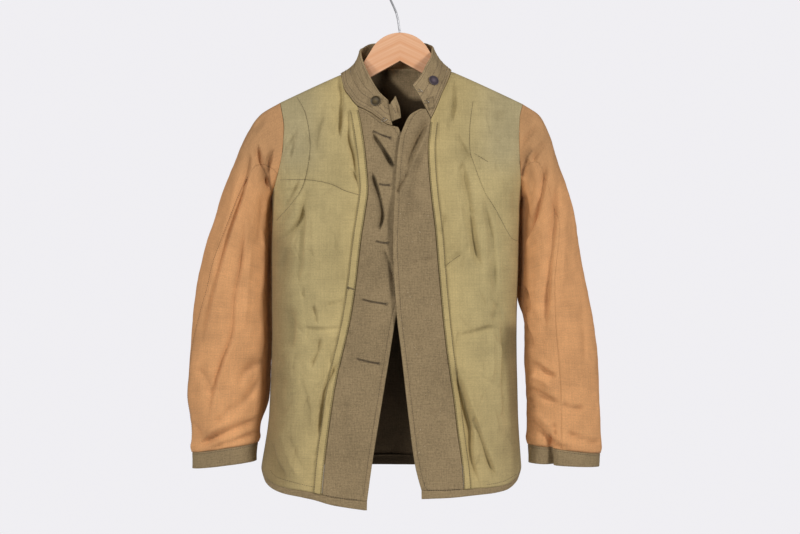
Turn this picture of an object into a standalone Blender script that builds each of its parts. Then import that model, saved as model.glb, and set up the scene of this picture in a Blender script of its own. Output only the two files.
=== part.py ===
"""Military service jacket, turned inside out and hung on a wooden hanger with a wire hook."""

import math

import bmesh
import bpy
import numpy as np

for item in list(bpy.data.objects):
    bpy.data.objects.remove(item, do_unlink=True)


def table(columns, *rows):
    """A short table as {column name: array}, with a row for each section or fold."""
    return dict(zip(columns.split(), np.array(rows, float).T))


# Metres. X runs to the right seen from the front, the front faces -Y and +Z is up.
# The origin is the point inside the top of the hook where a rail bears.
# Left and right are as seen from the front.

# Walls, and the air left at seams and between layers
SEAM_GAP = 0.0004
LAYER_GAP = 0.0003
ARMHOLE_GAP = 0.0006
COLLAR_GAP = 0.0018
HEM_GAP = 0.0014  # closes to a seam's width at the side, where the cloth turns
FRONT_WALL = 0.0022
BACK_LINING_WALL = 0.0012
BACK_SHELL_WALL = 0.0020
FACING_WALL = 0.0024
BAND_WALL = 0.0012
HEM_WALL = 0.0026
SLEEVE_WALL = 0.0020
CUFF_WALL = 0.0028
COLLAR_WALL = 0.0030
TAB_WALL = 0.0020

# The shoulder seam is a sloping line, rounded over at the neck
SHOULDER_APEX_Z = -0.1095
SHOULDER_SLOPE = 0.49
NECK_ROUNDING = 0.050
ARMPIT_Z = -0.356
HEM_Z = -0.791
HEM_START_Z = -0.550  # the fronts sag below the level hem from here down

# Widest line of the body at each height
SIDES = table(
    "z left right",
    (-0.150, -0.2050, 0.2070),
    (-0.282, -0.2060, 0.2050),
    (-0.356, -0.2045, 0.1940),
    (-0.380, -0.2040, 0.1915),
    (-0.450, -0.2055, 0.1900),
    (-0.570, -0.2050, 0.1865),
    (-0.700, -0.2090, 0.1885),
    (-0.791, -0.2220, 0.1940),
)
FLANK_POWER = 5.0
FLANK_ROUNDING = 0.5

# How far the cloth stands off the seam plane at a depth below the shoulder seam
DRAPE = table(
    "below front back",
    (0.000, 0.0000, 0.0000),
    (0.004, 0.0100, 0.0100),
    (0.020, 0.0200, 0.0180),
    (0.060, 0.0370, 0.0290),
    (0.150, 0.0620, 0.0400),
    (0.300, 0.0810, 0.0450),
    (0.450, 0.0890, 0.0470),
    (0.720, 0.0950, 0.0500),
)
NECK_SWELL = 0.030  # the neck hole is pushed out to a ring
NECK_SWELL_X = 0.070
NECK_SWELL_Z = -0.170
NECK_SWELL_TALL = 0.080
RIDGE_HOLD = 0.012  # folds and swell die out this near the shoulder seam
LAP_OUT = 0.004  # right front, over the left
LAP_IN = -0.002  # left front, under the right
LAP_START = 0.090
LAP_FULL = 0.020

ARMHOLES = {
    "left": table(
        "z x", (-0.2062, -0.1910), (-0.250, -0.1840), (-0.282, -0.1855), (-0.330, -0.1955), (-0.356, -0.2045)
    ),
    "right": table(
        "z x", (-0.2086, 0.1960), (-0.231, 0.1904), (-0.266, 0.1888), (-0.314, 0.1905), (-0.356, 0.1940)
    ),
}
# Seam of each front with the collar
NECKLINES = {
    "left": table(
        "z x",
        (-0.1619, -0.0945),
        (-0.187, -0.0887),
        (-0.2017, -0.0790),
        (-0.2157, -0.0680),
        (-0.227, -0.0470),
        (-0.238, -0.0314),
        (-0.2466, -0.0204),
        (-0.251, -0.0030),
    ),
    "right": table(
        "z x", (-0.1567, 0.0824), (-0.178, 0.0744), (-0.196, 0.0663), (-0.224, 0.0550), (-0.238, 0.0482)
    ),
}
# Front edge of each facing, below the neckline
FRONT_EDGES = {
    "left": table(
        "z x",
        (-0.251, -0.0030),
        (-0.270, 0.0063),
        (-0.342, 0.0171),
        (-0.428, 0.0171),
        (-0.505, 0.0046),
        (-0.548, -0.0062),
        (-0.621, -0.0185),
        (-0.698, -0.0310),
        (-0.776, -0.0433),
        (-0.845, -0.0526),
    ),
    "right": table(
        "z x",
        (-0.2198, 0.0377),
        (-0.226, 0.0250),
        (-0.2325, 0.0157),
        (-0.2497, 0.0063),
        (-0.267, 0.0000),
        (-0.302, -0.0047),
        (-0.381, -0.0093),
        (-0.435, -0.0109),
        (-0.505, -0.0077),
        (-0.548, -0.0046),
        (-0.598, 0.0015),
        (-0.706, 0.0139),
        (-0.775, 0.0232),
        (-0.827, 0.0370),
    ),
}
# Where each lining meets its facing
LINING_EDGES = {
    "left": table(
        "z x",
        (-0.2165, -0.0668),
        (-0.243, -0.0613),
        (-0.305, -0.0530),
        (-0.349, -0.0500),
        (-0.384, -0.0543),
        (-0.429, -0.0610),
        (-0.504, -0.0697),
        (-0.548, -0.0766),
        (-0.655, -0.1005),
        (-0.703, -0.1080),
        (-0.774, -0.1167),
        (-0.819, -0.1206),
    ),
    "right": table(
        "z x",
        (-0.238, 0.0482),
        (-0.285, 0.0437),
        (-0.345, 0.0475),
        (-0.417, 0.0559),
        (-0.476, 0.0604),
        (-0.553, 0.0673),
        (-0.602, 0.0727),
        (-0.667, 0.0827),
        (-0.726, 0.0897),
        (-0.785, 0.0974),
        (-0.814, 0.0990),
    ),
}
FACING_TOP = {"left": -0.2185, "right": -0.2225}
FACING_CORNER = table("z x", (-0.2198, 0.0365), (-0.2380, 0.0478))  # right facing, beside the collar's end
BAND_TOP = {"left": -0.222, "right": -0.242}
YOKE_Z = {"left": -0.3425}  # a level seam parts the left lining into a yoke and a lower panel
BAND_WIDTH = {"left": 0.013, "right": 0.011}
NARROW_SHARE = 0.3  # most of a row's width that the edge band may take

# Sag of each front's hem, by its share of the way out to the side
SAG = table(
    "share left right",
    (1.00, 0.000, 0.000),
    (0.95, 0.018, 0.016),
    (0.85, 0.028, 0.027),
    (0.60, 0.037, 0.032),
    (0.42, 0.047, 0.035),
    (0.20, 0.054, 0.036),
)
HEM_TALL_SIDE = 0.008
HEM_TALL_FRONT = 0.015
BACK_NECK_RISE = 0.0085

# The largest folds: a line on the panel, its half width and how deep it sinks
FOLDS = {
    "left": table(
        "x0 z0 x1 z1 width depth",
        (-0.090, -0.195, -0.089, -0.260, 0.012, -0.0050),
        (-0.070, -0.225, -0.058, -0.340, 0.012, -0.0035),
        (-0.150, -0.388, -0.188, -0.427, 0.014, -0.0045),
        (-0.152, -0.410, -0.152, -0.567, 0.018, -0.0040),
        (-0.183, -0.550, -0.172, -0.600, 0.022, -0.0060),
        (-0.108, -0.620, -0.121, -0.675, 0.014, -0.0035),
        (-0.196, -0.737, -0.171, -0.800, 0.016, -0.0050),
        (-0.034, -0.334, -0.024, -0.420, 0.014, -0.0030),
    ),
    "right": table(
        "x0 z0 x1 z1 width depth",
        (0.086, -0.310, 0.121, -0.462, 0.015, -0.0065),
        (0.131, -0.388, 0.146, -0.500, 0.014, -0.0045),
        (0.082, -0.185, 0.078, -0.240, 0.012, -0.0050),
        (0.093, -0.570, 0.155, -0.561, 0.013, -0.0030),
        (0.160, -0.567, 0.157, -0.675, 0.014, -0.0050),
        (0.090, -0.652, 0.118, -0.722, 0.014, -0.0060),
        (0.118, -0.722, 0.112, -0.806, 0.014, -0.0055),
    ),
    "back": table(
        "x0 z0 x1 z1 width depth",
        (-0.120, -0.260, -0.090, -0.470, 0.020, -0.0050),
        (0.105, -0.270, 0.085, -0.520, 0.022, -0.0060),
        (-0.020, -0.420, -0.050, -0.760, 0.024, -0.0050),
        (0.130, -0.560, 0.140, -0.780, 0.020, -0.0055),
        (-0.160, -0.520, -0.140, -0.770, 0.020, -0.0050),
    ),
}

# Sleeve rings from armhole to cuff: outermost point, innermost point, half depth, middle of the depth
SLEEVES = {
    "left": table(
        "along outer_x outer_z inner_x inner_z depth middle",
        (0.000, -0.1910, -0.2062, -0.2045, -0.3560, 0.026, -0.003),
        (0.058, -0.2240, -0.2278, -0.2065, -0.3605, 0.031, -0.003),
        (0.110, -0.2448, -0.2580, -0.2080, -0.3690, 0.034, -0.004),
        (0.200, -0.2688, -0.3110, -0.2095, -0.3890, 0.038, -0.005),
        (0.335, -0.2944, -0.3846, -0.2105, -0.4300, 0.042, -0.006),
        (0.490, -0.3200, -0.4740, -0.2105, -0.4970, 0.044, -0.008),
        (0.650, -0.3310, -0.5700, -0.2115, -0.5750, 0.043, -0.010),
        (0.810, -0.3384, -0.6694, -0.2138, -0.6630, 0.040, -0.012),
        (0.920, -0.3304, -0.7400, -0.2240, -0.7270, 0.036, -0.013),
        (0.958, -0.3296, -0.7638, -0.2270, -0.7480, 0.033, -0.013),
        (1.000, -0.3296, -0.7890, -0.2290, -0.7766, 0.032, -0.013),
    ),
    "right": table(
        "along outer_x outer_z inner_x inner_z depth middle",
        (0.000, 0.1960, -0.2086, 0.1940, -0.3560, 0.026, -0.003),
        (0.058, 0.2224, -0.2278, 0.1955, -0.3605, 0.031, -0.003),
        (0.110, 0.2375, -0.2560, 0.1965, -0.3690, 0.034, -0.004),
        (0.200, 0.2550, -0.3110, 0.1972, -0.3890, 0.038, -0.005),
        (0.335, 0.2768, -0.3846, 0.1970, -0.4300, 0.042, -0.006),
        (0.490, 0.2920, -0.4740, 0.1945, -0.4970, 0.044, -0.008),
        (0.650, 0.3104, -0.5700, 0.1980, -0.5680, 0.043, -0.010),
        (0.810, 0.3184, -0.6680, 0.2005, -0.6500, 0.040, -0.012),
        (0.920, 0.3190, -0.7330, 0.2016, -0.7250, 0.036, -0.013),
        (0.958, 0.3176, -0.7654, 0.2030, -0.7510, 0.033, -0.013),
        (1.000, 0.3168, -0.7860, 0.2040, -0.7800, 0.032, -0.013),
    ),
}
SLEEVE_LONG = 0.620
SLEEVE_GIRTH_RADIUS = 0.055
SLEEVE_HOLD = 0.16  # the armhole's own outline dies out over this share of the sleeve
SLEEVE_END = 0.957
CUFF_START = 0.9576
SEAM_FRONT = math.radians(50)
SEAM_BACK = math.radians(220)
# A fold runs between two places: share of the sleeve's length, and degrees round it from outside to front
SLEEVE_FOLDS = {
    "left": table(
        "along0 turn0 along1 turn1 width depth",
        (0.930, 10.0, 0.895, 150.0, 0.012, -0.0050),
        (0.180, 150.0, 0.300, 95.0, 0.014, -0.0045),
        (0.420, 60.0, 0.640, 75.0, 0.014, -0.0040),
        (0.620, 210.0, 0.560, 320.0, 0.016, -0.0050),
        (0.300, 260.0, 0.480, 290.0, 0.016, -0.0050),
    ),
    "right": table(
        "along0 turn0 along1 turn1 width depth",
        (0.880, 165.0, 0.945, 70.0, 0.012, -0.0055),
        (0.780, 150.0, 0.830, 95.0, 0.012, -0.0045),
        (0.170, 75.0, 0.480, 88.0, 0.014, -0.0045),
        (0.200, 150.0, 0.300, 110.0, 0.014, -0.0045),
        (0.600, 215.0, 0.540, 320.0, 0.016, -0.0050),
    ),
}

# Collar stand: foot on the neckline, rim above it. Fronts are placed by height, the back by width
COLLAR_LEFT = table(
    "foot_z rim_x rim_y rim_z",
    (-0.2490, -0.0190, -0.0600, -0.2085),
    (-0.2372, -0.0335, -0.0520, -0.1935),
    (-0.2215, -0.0460, -0.0400, -0.1720),
    (-0.2010, -0.0560, -0.0240, -0.1500),
    (-0.1800, -0.0625, -0.0080, -0.1300),
    (-0.1625, -0.0645, 0.0080, -0.1195),
)
COLLAR_BACK = table(
    "foot_x rim_x rim_y rim_z",
    (-0.0935, -0.0640, 0.0110, -0.1185),
    (-0.0660, -0.0480, 0.0310, -0.1085),
    (-0.0060, -0.0060, 0.0400, -0.1055),
    (0.0560, 0.0370, 0.0310, -0.1065),
    (0.0815, 0.0522, 0.0110, -0.1135),
)
COLLAR_RIGHT = table(
    "foot_z rim_x rim_y rim_z",
    (-0.1575, 0.0525, 0.0080, -0.1145),
    (-0.1780, 0.0510, -0.0150, -0.1300),
    (-0.1960, 0.0425, -0.0310, -0.1480),
    (-0.2180, 0.0340, -0.0450, -0.1660),
    (-0.2370, 0.0205, -0.0550, -0.1840),
)
COLLAR_STEPS = 12  # columns of mesh in each of the three stretches
COLLAR_RISE_STEPS = 4
COLLAR_BULGE = 0.0025
TAB = table(
    "rise right_x right_z right_y",
    (0.15, 0.0012, -0.2370, -0.0690),
    (0.50, -0.0010, -0.2220, -0.0720),
    (0.90, -0.0078, -0.2030, -0.0690),
)
TAB_STEPS = 3

BUTTONS = {  # column and row of the collar's mesh, and the radius
    "left": (3, 2, 0.0084),
    "right": (-6, 2, 0.0084),
}
BUTTON_PROFILE = table(  # shares of the radius, out from the axis and up from the cloth
    "out up",
    (0.00, 0.03),
    (0.82, 0.03),
    (0.96, 0.10),
    (1.00, 0.20),
    (0.94, 0.32),
    (0.82, 0.33),
    (0.66, 0.23),
    (0.00, 0.20),
)
BUTTON_SEGMENTS = 20

# Hanger: half outline of the board, from the tip's end up over the arch and back under the arm
BOARD_HALF_THICK = 0.0055
BOARD_TOP_Z = -0.095
BOARD_ARCH_RADIUS = 0.0520
BOARD_ARCH_TURN = math.radians(52)
BOARD_ARCH_STEPS = 7
BOARD_ARM_TOP = table(
    "x z", (0.0640, -0.1520), (0.0780, -0.1640), (0.0945, -0.1705), (0.1400, -0.1892), (0.1680, -0.2030)
)
BOARD_TIP = table("x z", (0.1745, -0.2075), (0.1765, -0.2130), (0.1730, -0.2185))
BOARD_ARM_BOTTOM = table("x z", (0.1660, -0.2202), (0.1400, -0.2120), (0.0945, -0.1955), (0.0470, -0.1660))
BOARD_BOTTOM_Z = -0.1400
BOARD_EDGE = 0.0036
WIRE_RADIUS = 0.0016
HOOK_RADIUS = 0.0226
HOOK_CENTRE_Z = WIRE_RADIUS - HOOK_RADIUS
HOOK_TURN_FROM = math.radians(203)
HOOK_TURN_TO = math.radians(-38)
HOOK_STEPS = 18
HOOK_STEM = table(
    "x z",
    (0.0000, -0.1100),
    (0.0000, -0.0950),
    (-0.0016, -0.0855),
    (-0.0032, -0.0740),
    (-0.0058, -0.0630),
    (-0.0107, -0.0515),
)
HOLE_RADIUS = 0.0020
HOLE_BOTTOM_Z = -0.1104

# Mesh
BODY_ROWS = 15
ARMHOLE_ROWS = 5
NECK_ROWS = 4
SHOULDER_ROWS = 5
NECK_LOW_Z = -0.245  # below the collar's front ends
FRONT_COLUMNS = 9
FACING_COLUMNS = 4
BACK_COLUMNS = 16
HEM_ROWS = 2
SLEEVE_ROWS = 20
SLEEVE_COLUMNS = 9
CUFF_COLUMNS = 22
CUFF_ROWS = 2
TOP_INSET = 0.0014  # a panel's top row stops this far below its point
BACK_INSET = 0.005
FACING_NECK_Z = -0.251
SLOPE_STEP = 0.00004
SLEEVE_STEP = 0.002  # step along and round a sleeve for its normals
SLEEVE_ROW_GROWTH = 1.25  # rows lie closer together near the armhole
WELD_FAR = 0.00002
PROFILE_WELD_FAR = 0.00005
BOARD_EDGE_SEGMENTS = 2
HOLE_SEGMENTS = 12

OLIVE_COTTON = ("olive_cotton", (0.33, 0.28, 0.14, 1.0), 0.9, 0.0)
TAN_COTTON = ("tan_cotton", (0.55, 0.29, 0.12, 1.0), 0.9, 0.0)
BROWN_WOOL = ("brown_wool", (0.26, 0.19, 0.11, 1.0), 1.0, 0.0)
COMPOSITION = ("button_composition", (0.12, 0.10, 0.07, 1.0), 0.5, 0.0)
LIGHT_WOOD = ("light_wood", (0.80, 0.48, 0.27, 1.0), 0.6, 0.0)
STEEL = ("steel", (0.6, 0.6, 0.6, 1.0), 0.3, 1.0)


def read(rows, column, at, by="z"):
    """Reads a column smoothly between the rows of a table, without overshoot."""
    order = np.argsort(rows[by])
    knots, values = rows[by][order], rows[column][order]
    step = np.diff(knots)
    slope = np.diff(values) / step
    bend = np.zeros_like(knots)
    bend[0], bend[-1] = slope[0], slope[-1]
    for i in range(1, len(knots) - 1):
        before, after = slope[i - 1], slope[i]
        if before * after > 0:
            near, far = 2 * step[i] + step[i - 1], step[i] + 2 * step[i - 1]
            bend[i] = (near + far) / (near / before + far / after)
    at = np.clip(at, knots[0], knots[-1])
    i = np.clip(np.searchsorted(knots, at) - 1, 0, len(step) - 1)
    t = (at - knots[i]) / step[i]
    start = (1 + 2 * t) * (1 - t) ** 2 * values[i] + t * (1 - t) ** 2 * step[i] * bend[i]
    end = t**2 * (3 - 2 * t) * values[i + 1] + t**2 * (t - 1) * step[i] * bend[i + 1]
    return start + end


def smooth(share):
    share = np.clip(share, 0.0, 1.0)
    return share * share * (3 - 2 * share)


def ridge_z(x):
    """Height of the shoulder seam."""
    return SHOULDER_APEX_Z - SHOULDER_SLOPE * np.hypot(x, NECK_ROUNDING)


def ridge_x(z):
    return np.sqrt(((SHOULDER_APEX_Z - z) / SHOULDER_SLOPE) ** 2 - NECK_ROUNDING**2)


def side_share(x, z):
    """0 on the body's middle line and 1 at its side."""
    left, right = read(SIDES, "left", z), read(SIDES, "right", z)
    return np.abs(x - (left + right) / 2) / ((right - left) / 2)


def line_relief(folds, x, z, keys):
    """Depth at (x, z) of soft troughs, each along a line between two places."""
    relief = np.zeros_like(x)
    for x0, z0, x1, z1, width, depth in zip(*(folds[key] for key in keys)):
        along = (x - x0) * (x1 - x0) + (z - z0) * (z1 - z0)
        along = np.clip(along / ((x1 - x0) ** 2 + (z1 - z0) ** 2), 0, 1)
        away = np.hypot(x - x0 - along * (x1 - x0), z - z0 - along * (z1 - z0))
        relief += depth * np.exp(-((away / width) ** 2))
    return relief


def reach(face, x, z):
    """How far the cloth's outer face stands off the seam plane, below 0 outside the seams."""
    below = ridge_z(x) - z
    drape = {**DRAPE, "root": np.sqrt(DRAPE["below"])}
    column = "back" if face == "back" else "front"
    hang = np.sign(below) * read(drape, column, np.sqrt(np.abs(below)), by="root")
    hold = 1 - np.exp(-np.maximum(below, 0) / RIDGE_HOLD)
    swell = NECK_SWELL * np.exp(-((x / NECK_SWELL_X) ** 2) - ((z - NECK_SWELL_Z) / NECK_SWELL_TALL) ** 2)
    folds = line_relief(FOLDS[face], x, z, ("x0", "z0", "x1", "z1", "width", "depth"))
    share = side_share(x, z)
    flank = np.sign(1 - share) * np.abs(1 - share**FLANK_POWER) ** FLANK_ROUNDING
    lap = 0.0
    if face == "right":
        lap = LAP_OUT * smooth((LAP_START - x) / (LAP_START - LAP_FULL))
    if face == "left":
        lap = LAP_IN * smooth((x + LAP_START) / (LAP_START - LAP_FULL))
    return (hang + hold * (swell + folds + lap)) * flank


def place(face, x, z, out=0.0):
    """Points of a body panel, moved out along the cloth's normal."""
    x, z = np.broadcast_arrays(np.asarray(x, float), np.asarray(z, float))
    facing = 1.0 if face == "back" else -1.0
    slope_x = (reach(face, x + SLOPE_STEP, z) - reach(face, x - SLOPE_STEP, z)) / (2 * SLOPE_STEP)
    slope_z = (reach(face, x, z + SLOPE_STEP) - reach(face, x, z - SLOPE_STEP)) / (2 * SLOPE_STEP)
    normal = np.stack([-slope_x, np.full_like(x, facing), -slope_z], -1)
    normal /= np.linalg.norm(normal, axis=-1, keepdims=True)
    y = facing * (SEAM_GAP / 2 + np.maximum(reach(face, x, z), 0))
    return np.stack([x, y, z], -1) + out * normal


def outer_edge(side, z):
    """Side seam, then armhole, then shoulder seam."""
    mirror = -1.0 if side == "left" else 1.0
    tip_z = ARMHOLES[side]["z"][0]
    if z <= ARMPIT_Z:
        return float(read(SIDES, side, z))
    if z <= tip_z:
        return float(read(ARMHOLES[side], "x", z))
    return mirror * float(ridge_x(z))


def hem_height(face, x, z):
    """The hem's sag, and the height of its turned band, at a nominal height z."""
    share = side_share(x, z + sink(z) * HEM_TALL_SIDE)
    sag = np.zeros_like(x) if face == "back" else read(SAG, face, share, by="share")
    tall = HEM_TALL_SIDE + (HEM_TALL_FRONT - HEM_TALL_SIDE) * np.clip(1 - share, 0, 1)
    return sag, tall


def sink(z):
    """Share of the hem's sag that a nominal height takes."""
    return np.clip((HEM_START_Z - z) / (HEM_START_Z - HEM_Z), 0, 1) ** 2


def settle(face, x, z):
    """Lowers nominal heights towards the sagging hem, down to the top of its band."""
    sag, tall = hem_height(face, x, z)
    return z - sink(z) * (sag - tall)


def panel_edge(side, z):
    """A panel's outer edge at a nominal height, read where the settled cloth is."""
    return outer_edge(side, z + sink(z) * HEM_TALL_SIDE)


def heights(*stops):
    """Row heights through (height, rows up to the next stop) pairs."""
    rows = [stops[0][0]]
    for (low, count), (high, _) in zip(stops, stops[1:]):
        rows += list(np.linspace(low, high, count + 1)[1:])
    return rows


def edge_at(rows, face, z, column="x"):
    """An edge table's place at a nominal height, read where the sagging cloth is."""
    guess = np.atleast_1d(read(rows, column, z))
    lowered = settle(face, guess, np.full_like(guess, z))
    return float(read(rows, column, lowered)[0])


collection = bpy.data.collections.new("military_service_jacket")
bpy.context.scene.collection.children.link(collection)
cutters = bpy.data.collections.new("cutters")
bpy.context.scene.collection.children.link(cutters)


def material(recipe):
    name, colour, roughness, metallic = recipe
    made = bpy.data.materials.get(name) or bpy.data.materials.new(name)
    made.use_nodes = True
    shader = made.node_tree.nodes["Principled BSDF"]
    shader.inputs["Base Color"].default_value = colour
    shader.inputs["Roughness"].default_value = roughness
    shader.inputs["Metallic"].default_value = metallic
    made.diffuse_color = colour
    return made


def add_part(name, mesh, recipe):
    mesh.materials.clear()
    mesh.materials.append(material(recipe))
    part = bpy.data.objects.new(name, mesh)
    collection.objects.link(part)
    return part


def wall(name, outer, inner, recipe, wraps=False):
    """A closed cloth wall lofted between an outer and an inner grid of points."""
    rows, columns = outer.shape[:2]
    shape = bmesh.new()
    layers = [[[shape.verts.new(p) for p in row] for row in grid] for grid in (outer, inner)]
    cells = columns if wraps else columns - 1
    borders = []
    for layer, grid in enumerate(layers):
        for r in range(rows - 1):
            for c in range(cells):
                n = (c + 1) % columns
                near, far = (grid[r][c], grid[r][n]), (grid[r + 1][n], grid[r + 1][c])
                for corners in ((near[0], near[1], far[0]), (near[0], far[0], far[1])):
                    shape.faces.new(corners if layer == 0 else corners[::-1])
    for r in (0, rows - 1):
        borders.append([(r, c % columns) for c in range(cells + 1)])
    if not wraps:
        for c in (0, columns - 1):
            borders.append([(r, c) for r in range(rows)])
    for border in borders:
        for (r0, c0), (r1, c1) in zip(border, border[1:]):
            near, far = (layers[0][r0][c0], layers[0][r1][c1]), (layers[1][r1][c1], layers[1][r0][c0])
            shape.faces.new((*near, *far))
    bmesh.ops.recalc_face_normals(shape, faces=shape.faces)
    mesh = bpy.data.meshes.new(name)
    shape.to_mesh(mesh)
    shape.free()
    return add_part(name, mesh, recipe)


def panel(name, face, x, z, top, thick, recipe):
    """A wall on a body panel's points, from its top face inwards."""
    return wall(name, place(face, x, z, top), place(face, x, z, top - thick), recipe)


def lining_heights(side):
    """Row heights of a front lining, with two rows where a yoke seam parts it."""
    tip_z, neck_z = ARMHOLES[side]["z"][0], NECKLINES[side]["z"][0]
    above = ((NECK_LOW_Z, NECK_ROWS), (tip_z, SHOULDER_ROWS), (neck_z - TOP_INSET, 0))
    if side not in YOKE_Z:
        return heights((HEM_Z, BODY_ROWS), (ARMPIT_Z, ARMHOLE_ROWS), *above)
    seam = ((YOKE_Z[side] - SEAM_GAP / 2, 1), (YOKE_Z[side] + SEAM_GAP / 2, ARMHOLE_ROWS))
    return heights((HEM_Z, BODY_ROWS), (ARMPIT_Z, 1), *seam, *above)


def front_lining(side):
    """The lining panels of one front, and the folded edge band that lies on their inner columns."""
    mirror = -1.0 if side == "left" else 1.0
    nominal = lining_heights(side)
    x = []
    for z in nominal:
        rows = LINING_EDGES[side] if z < LINING_EDGES[side]["z"][0] else NECKLINES[side]
        inner = edge_at(rows, side, z) + mirror * SEAM_GAP / 2
        outer = panel_edge(side, z)
        band = min(BAND_WIDTH[side] / abs(outer - inner), NARROW_SHARE)
        spread = np.sin(np.linspace(0, math.pi / 2, FRONT_COLUMNS))
        shares = np.concatenate([[0, band / 2], band + (1 - band) * spread])
        x.append(inner + (outer - inner) * shares)
    x = np.array(x)
    z = np.repeat(np.array(nominal)[:, None], x.shape[1], 1)
    z = settle(side, x, z)
    low = np.array(nominal) < YOKE_Z.get(side, 0.0)
    panel("front_lining_" + side, side, x[low], z[low], 0.0, FRONT_WALL, OLIVE_COTTON)
    if side in YOKE_Z:
        panel("front_yoke_" + side, side, x[~low], z[~low], 0.0, FRONT_WALL, OLIVE_COTTON)
    rows = [i for i, height in enumerate(nominal) if height < BAND_TOP[side]]
    band_x, band_z = x[: len(rows), :3], z[: len(rows), :3]
    panel("edge_band_" + side, side, band_x, band_z, LAYER_GAP + BAND_WALL, BAND_WALL, OLIVE_COTTON)
    return x[0]


def front_facing(side):
    mirror = -1.0 if side == "left" else 1.0
    top = FACING_TOP[side]
    below_neck = ((HEM_Z, BODY_ROWS), (ARMPIT_Z, ARMHOLE_ROWS))
    nominal = heights(*below_neck, (FACING_NECK_Z, SHOULDER_ROWS), (top, 0))
    x = []
    for z in nominal:
        seam = edge_at(LINING_EDGES[side], side, z) - mirror * SEAM_GAP / 2
        if side == "right" and z > FACING_CORNER["z"].min():
            seam = float(read(FACING_CORNER, "x", z))
        rows = FRONT_EDGES[side] if z < FRONT_EDGES[side]["z"][0] else NECKLINES[side]
        x.append(np.linspace(seam, edge_at(rows, side, z), FACING_COLUMNS + 1))
    x = np.array(x)
    z = np.repeat(np.array(nominal)[:, None], x.shape[1], 1)
    panel("facing_" + side, side, x, settle(side, x, z), 0.0, FACING_WALL, BROWN_WOOL)
    return x[0]


def neck_points():
    return [(float(rows["x"][0]), float(rows["z"][0])) for rows in (NECKLINES["left"], NECKLINES["right"])]


def back_neck_z(x):
    """The back neckline arches up a little between the two shoulder seams."""
    (left_x, left_z), (right_x, right_z) = neck_points()
    share = np.clip((x - left_x) / (right_x - left_x), 0, 1)
    return left_z + (right_z - left_z) * share + BACK_NECK_RISE * np.sin(math.pi * share)


def back_panels():
    """The back lining, and the wool shell one layer inside it."""
    tip_z = min(ARMHOLES["left"]["z"][0], ARMHOLES["right"]["z"][0])
    (left_x, left_z), (right_x, _) = neck_points()
    below_tip = ((HEM_Z, BODY_ROWS), (ARMPIT_Z, ARMHOLE_ROWS))
    nominal = heights(*below_tip, (tip_z, SHOULDER_ROWS), (left_z - BACK_INSET, 0))
    spread = (1 + np.sin(np.linspace(-math.pi / 2, math.pi / 2, BACK_COLUMNS + 1))) / 2
    x, z = [], []
    for height in nominal:
        left, right = panel_edge("left", height), panel_edge("right", height)
        x.append(left + (right - left) * spread)
        z.append(settle("back", x[-1], np.full_like(spread, height)))
    x.append(left_x + (right_x - left_x) * spread)
    z.append(back_neck_z(x[-1]))
    x, z = np.array(x), np.array(z)
    panel("back_lining", "back", x, z, 0.0, BACK_LINING_WALL, OLIVE_COTTON)
    panel("back_shell", "back", x, z, -BACK_LINING_WALL - LAYER_GAP, BACK_SHELL_WALL, BROWN_WOOL)
    return x[0]


def hem(name, face, top_x):
    """The turned wool band below a panel's lower edge, from the points of that edge."""
    sag, tall = hem_height(face, top_x, np.full_like(top_x, HEM_Z))
    top_z = HEM_Z + HEM_TALL_SIDE
    x, z = [], []
    for rise in np.linspace(0, 1, HEM_ROWS + 1):
        side_z = HEM_Z + rise * HEM_TALL_SIDE
        left = read(SIDES, "left", side_z) / read(SIDES, "left", top_z)
        right = read(SIDES, "right", side_z) / read(SIDES, "right", top_z)
        x.append(top_x * np.where(top_x < 0, left, right))
        z.append(HEM_Z - sag + rise * (tall - HEM_GAP))
    panel(name, face, np.array(x), np.array(z), 0.0, HEM_WALL, BROWN_WOOL)


def armhole_ring(side, share):
    """The armhole's outline, front half then back half: share is -1 at the armpit and 1 at the tip."""
    low, high = ARMPIT_Z, ARMHOLES[side]["z"][0]
    z = low + (high - low) * (1 + share) / 2
    x = read(ARMHOLES[side], "x", z)
    return place(side, x, z), place("back", x, z)


def sleeve_point(side, along, turn):
    """Outer face of a sleeve: turn 0 is outermost, 90 degrees is the front, 180 is beside the body."""
    along, turn = np.broadcast_arrays(np.asarray(along, float), np.asarray(turn, float))
    rows = SLEEVES[side]
    ring = {key: read(rows, key, along, by="along") for key in rows}
    across, forward = np.cos(turn), np.sin(turn)
    share = (1 + across) / 2
    x = ring["inner_x"] + (ring["outer_x"] - ring["inner_x"]) * share
    z = ring["inner_z"] + (ring["outer_z"] - ring["inner_z"]) * share
    y = ring["middle"] - ring["depth"] * forward
    point = np.stack([x, y, z], -1)

    first = {key: rows[key][0] for key in rows}
    plain = np.stack(
        [
            first["inner_x"] + (first["outer_x"] - first["inner_x"]) * share,
            first["middle"] - first["depth"] * forward,
            first["inner_z"] + (first["outer_z"] - first["inner_z"]) * share,
        ],
        -1,
    )
    front, back = armhole_ring(side, across)
    own = np.where((forward >= 0)[..., None], front, back)
    hold = np.clip(1 - along / SLEEVE_HOLD, 0, 1) ** 2
    point += hold[..., None] * (own - plain)

    keys = ("along0", "turn0", "along1", "turn1", "width", "depth")
    folds = dict(SLEEVE_FOLDS[side])
    for key in ("along0", "along1"):
        folds[key] = folds[key] * SLEEVE_LONG
    for key in ("turn0", "turn1"):
        folds[key] = np.radians(folds[key]) * SLEEVE_GIRTH_RADIUS
    round_about = np.mod(turn, 2 * math.pi) * SLEEVE_GIRTH_RADIUS
    relief = line_relief(folds, along * SLEEVE_LONG, round_about, keys) * (1 - hold)
    side_way = np.sign(first["outer_x"])
    point[..., 0] += relief * across * side_way
    point[..., 1] -= relief * forward
    return point


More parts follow.
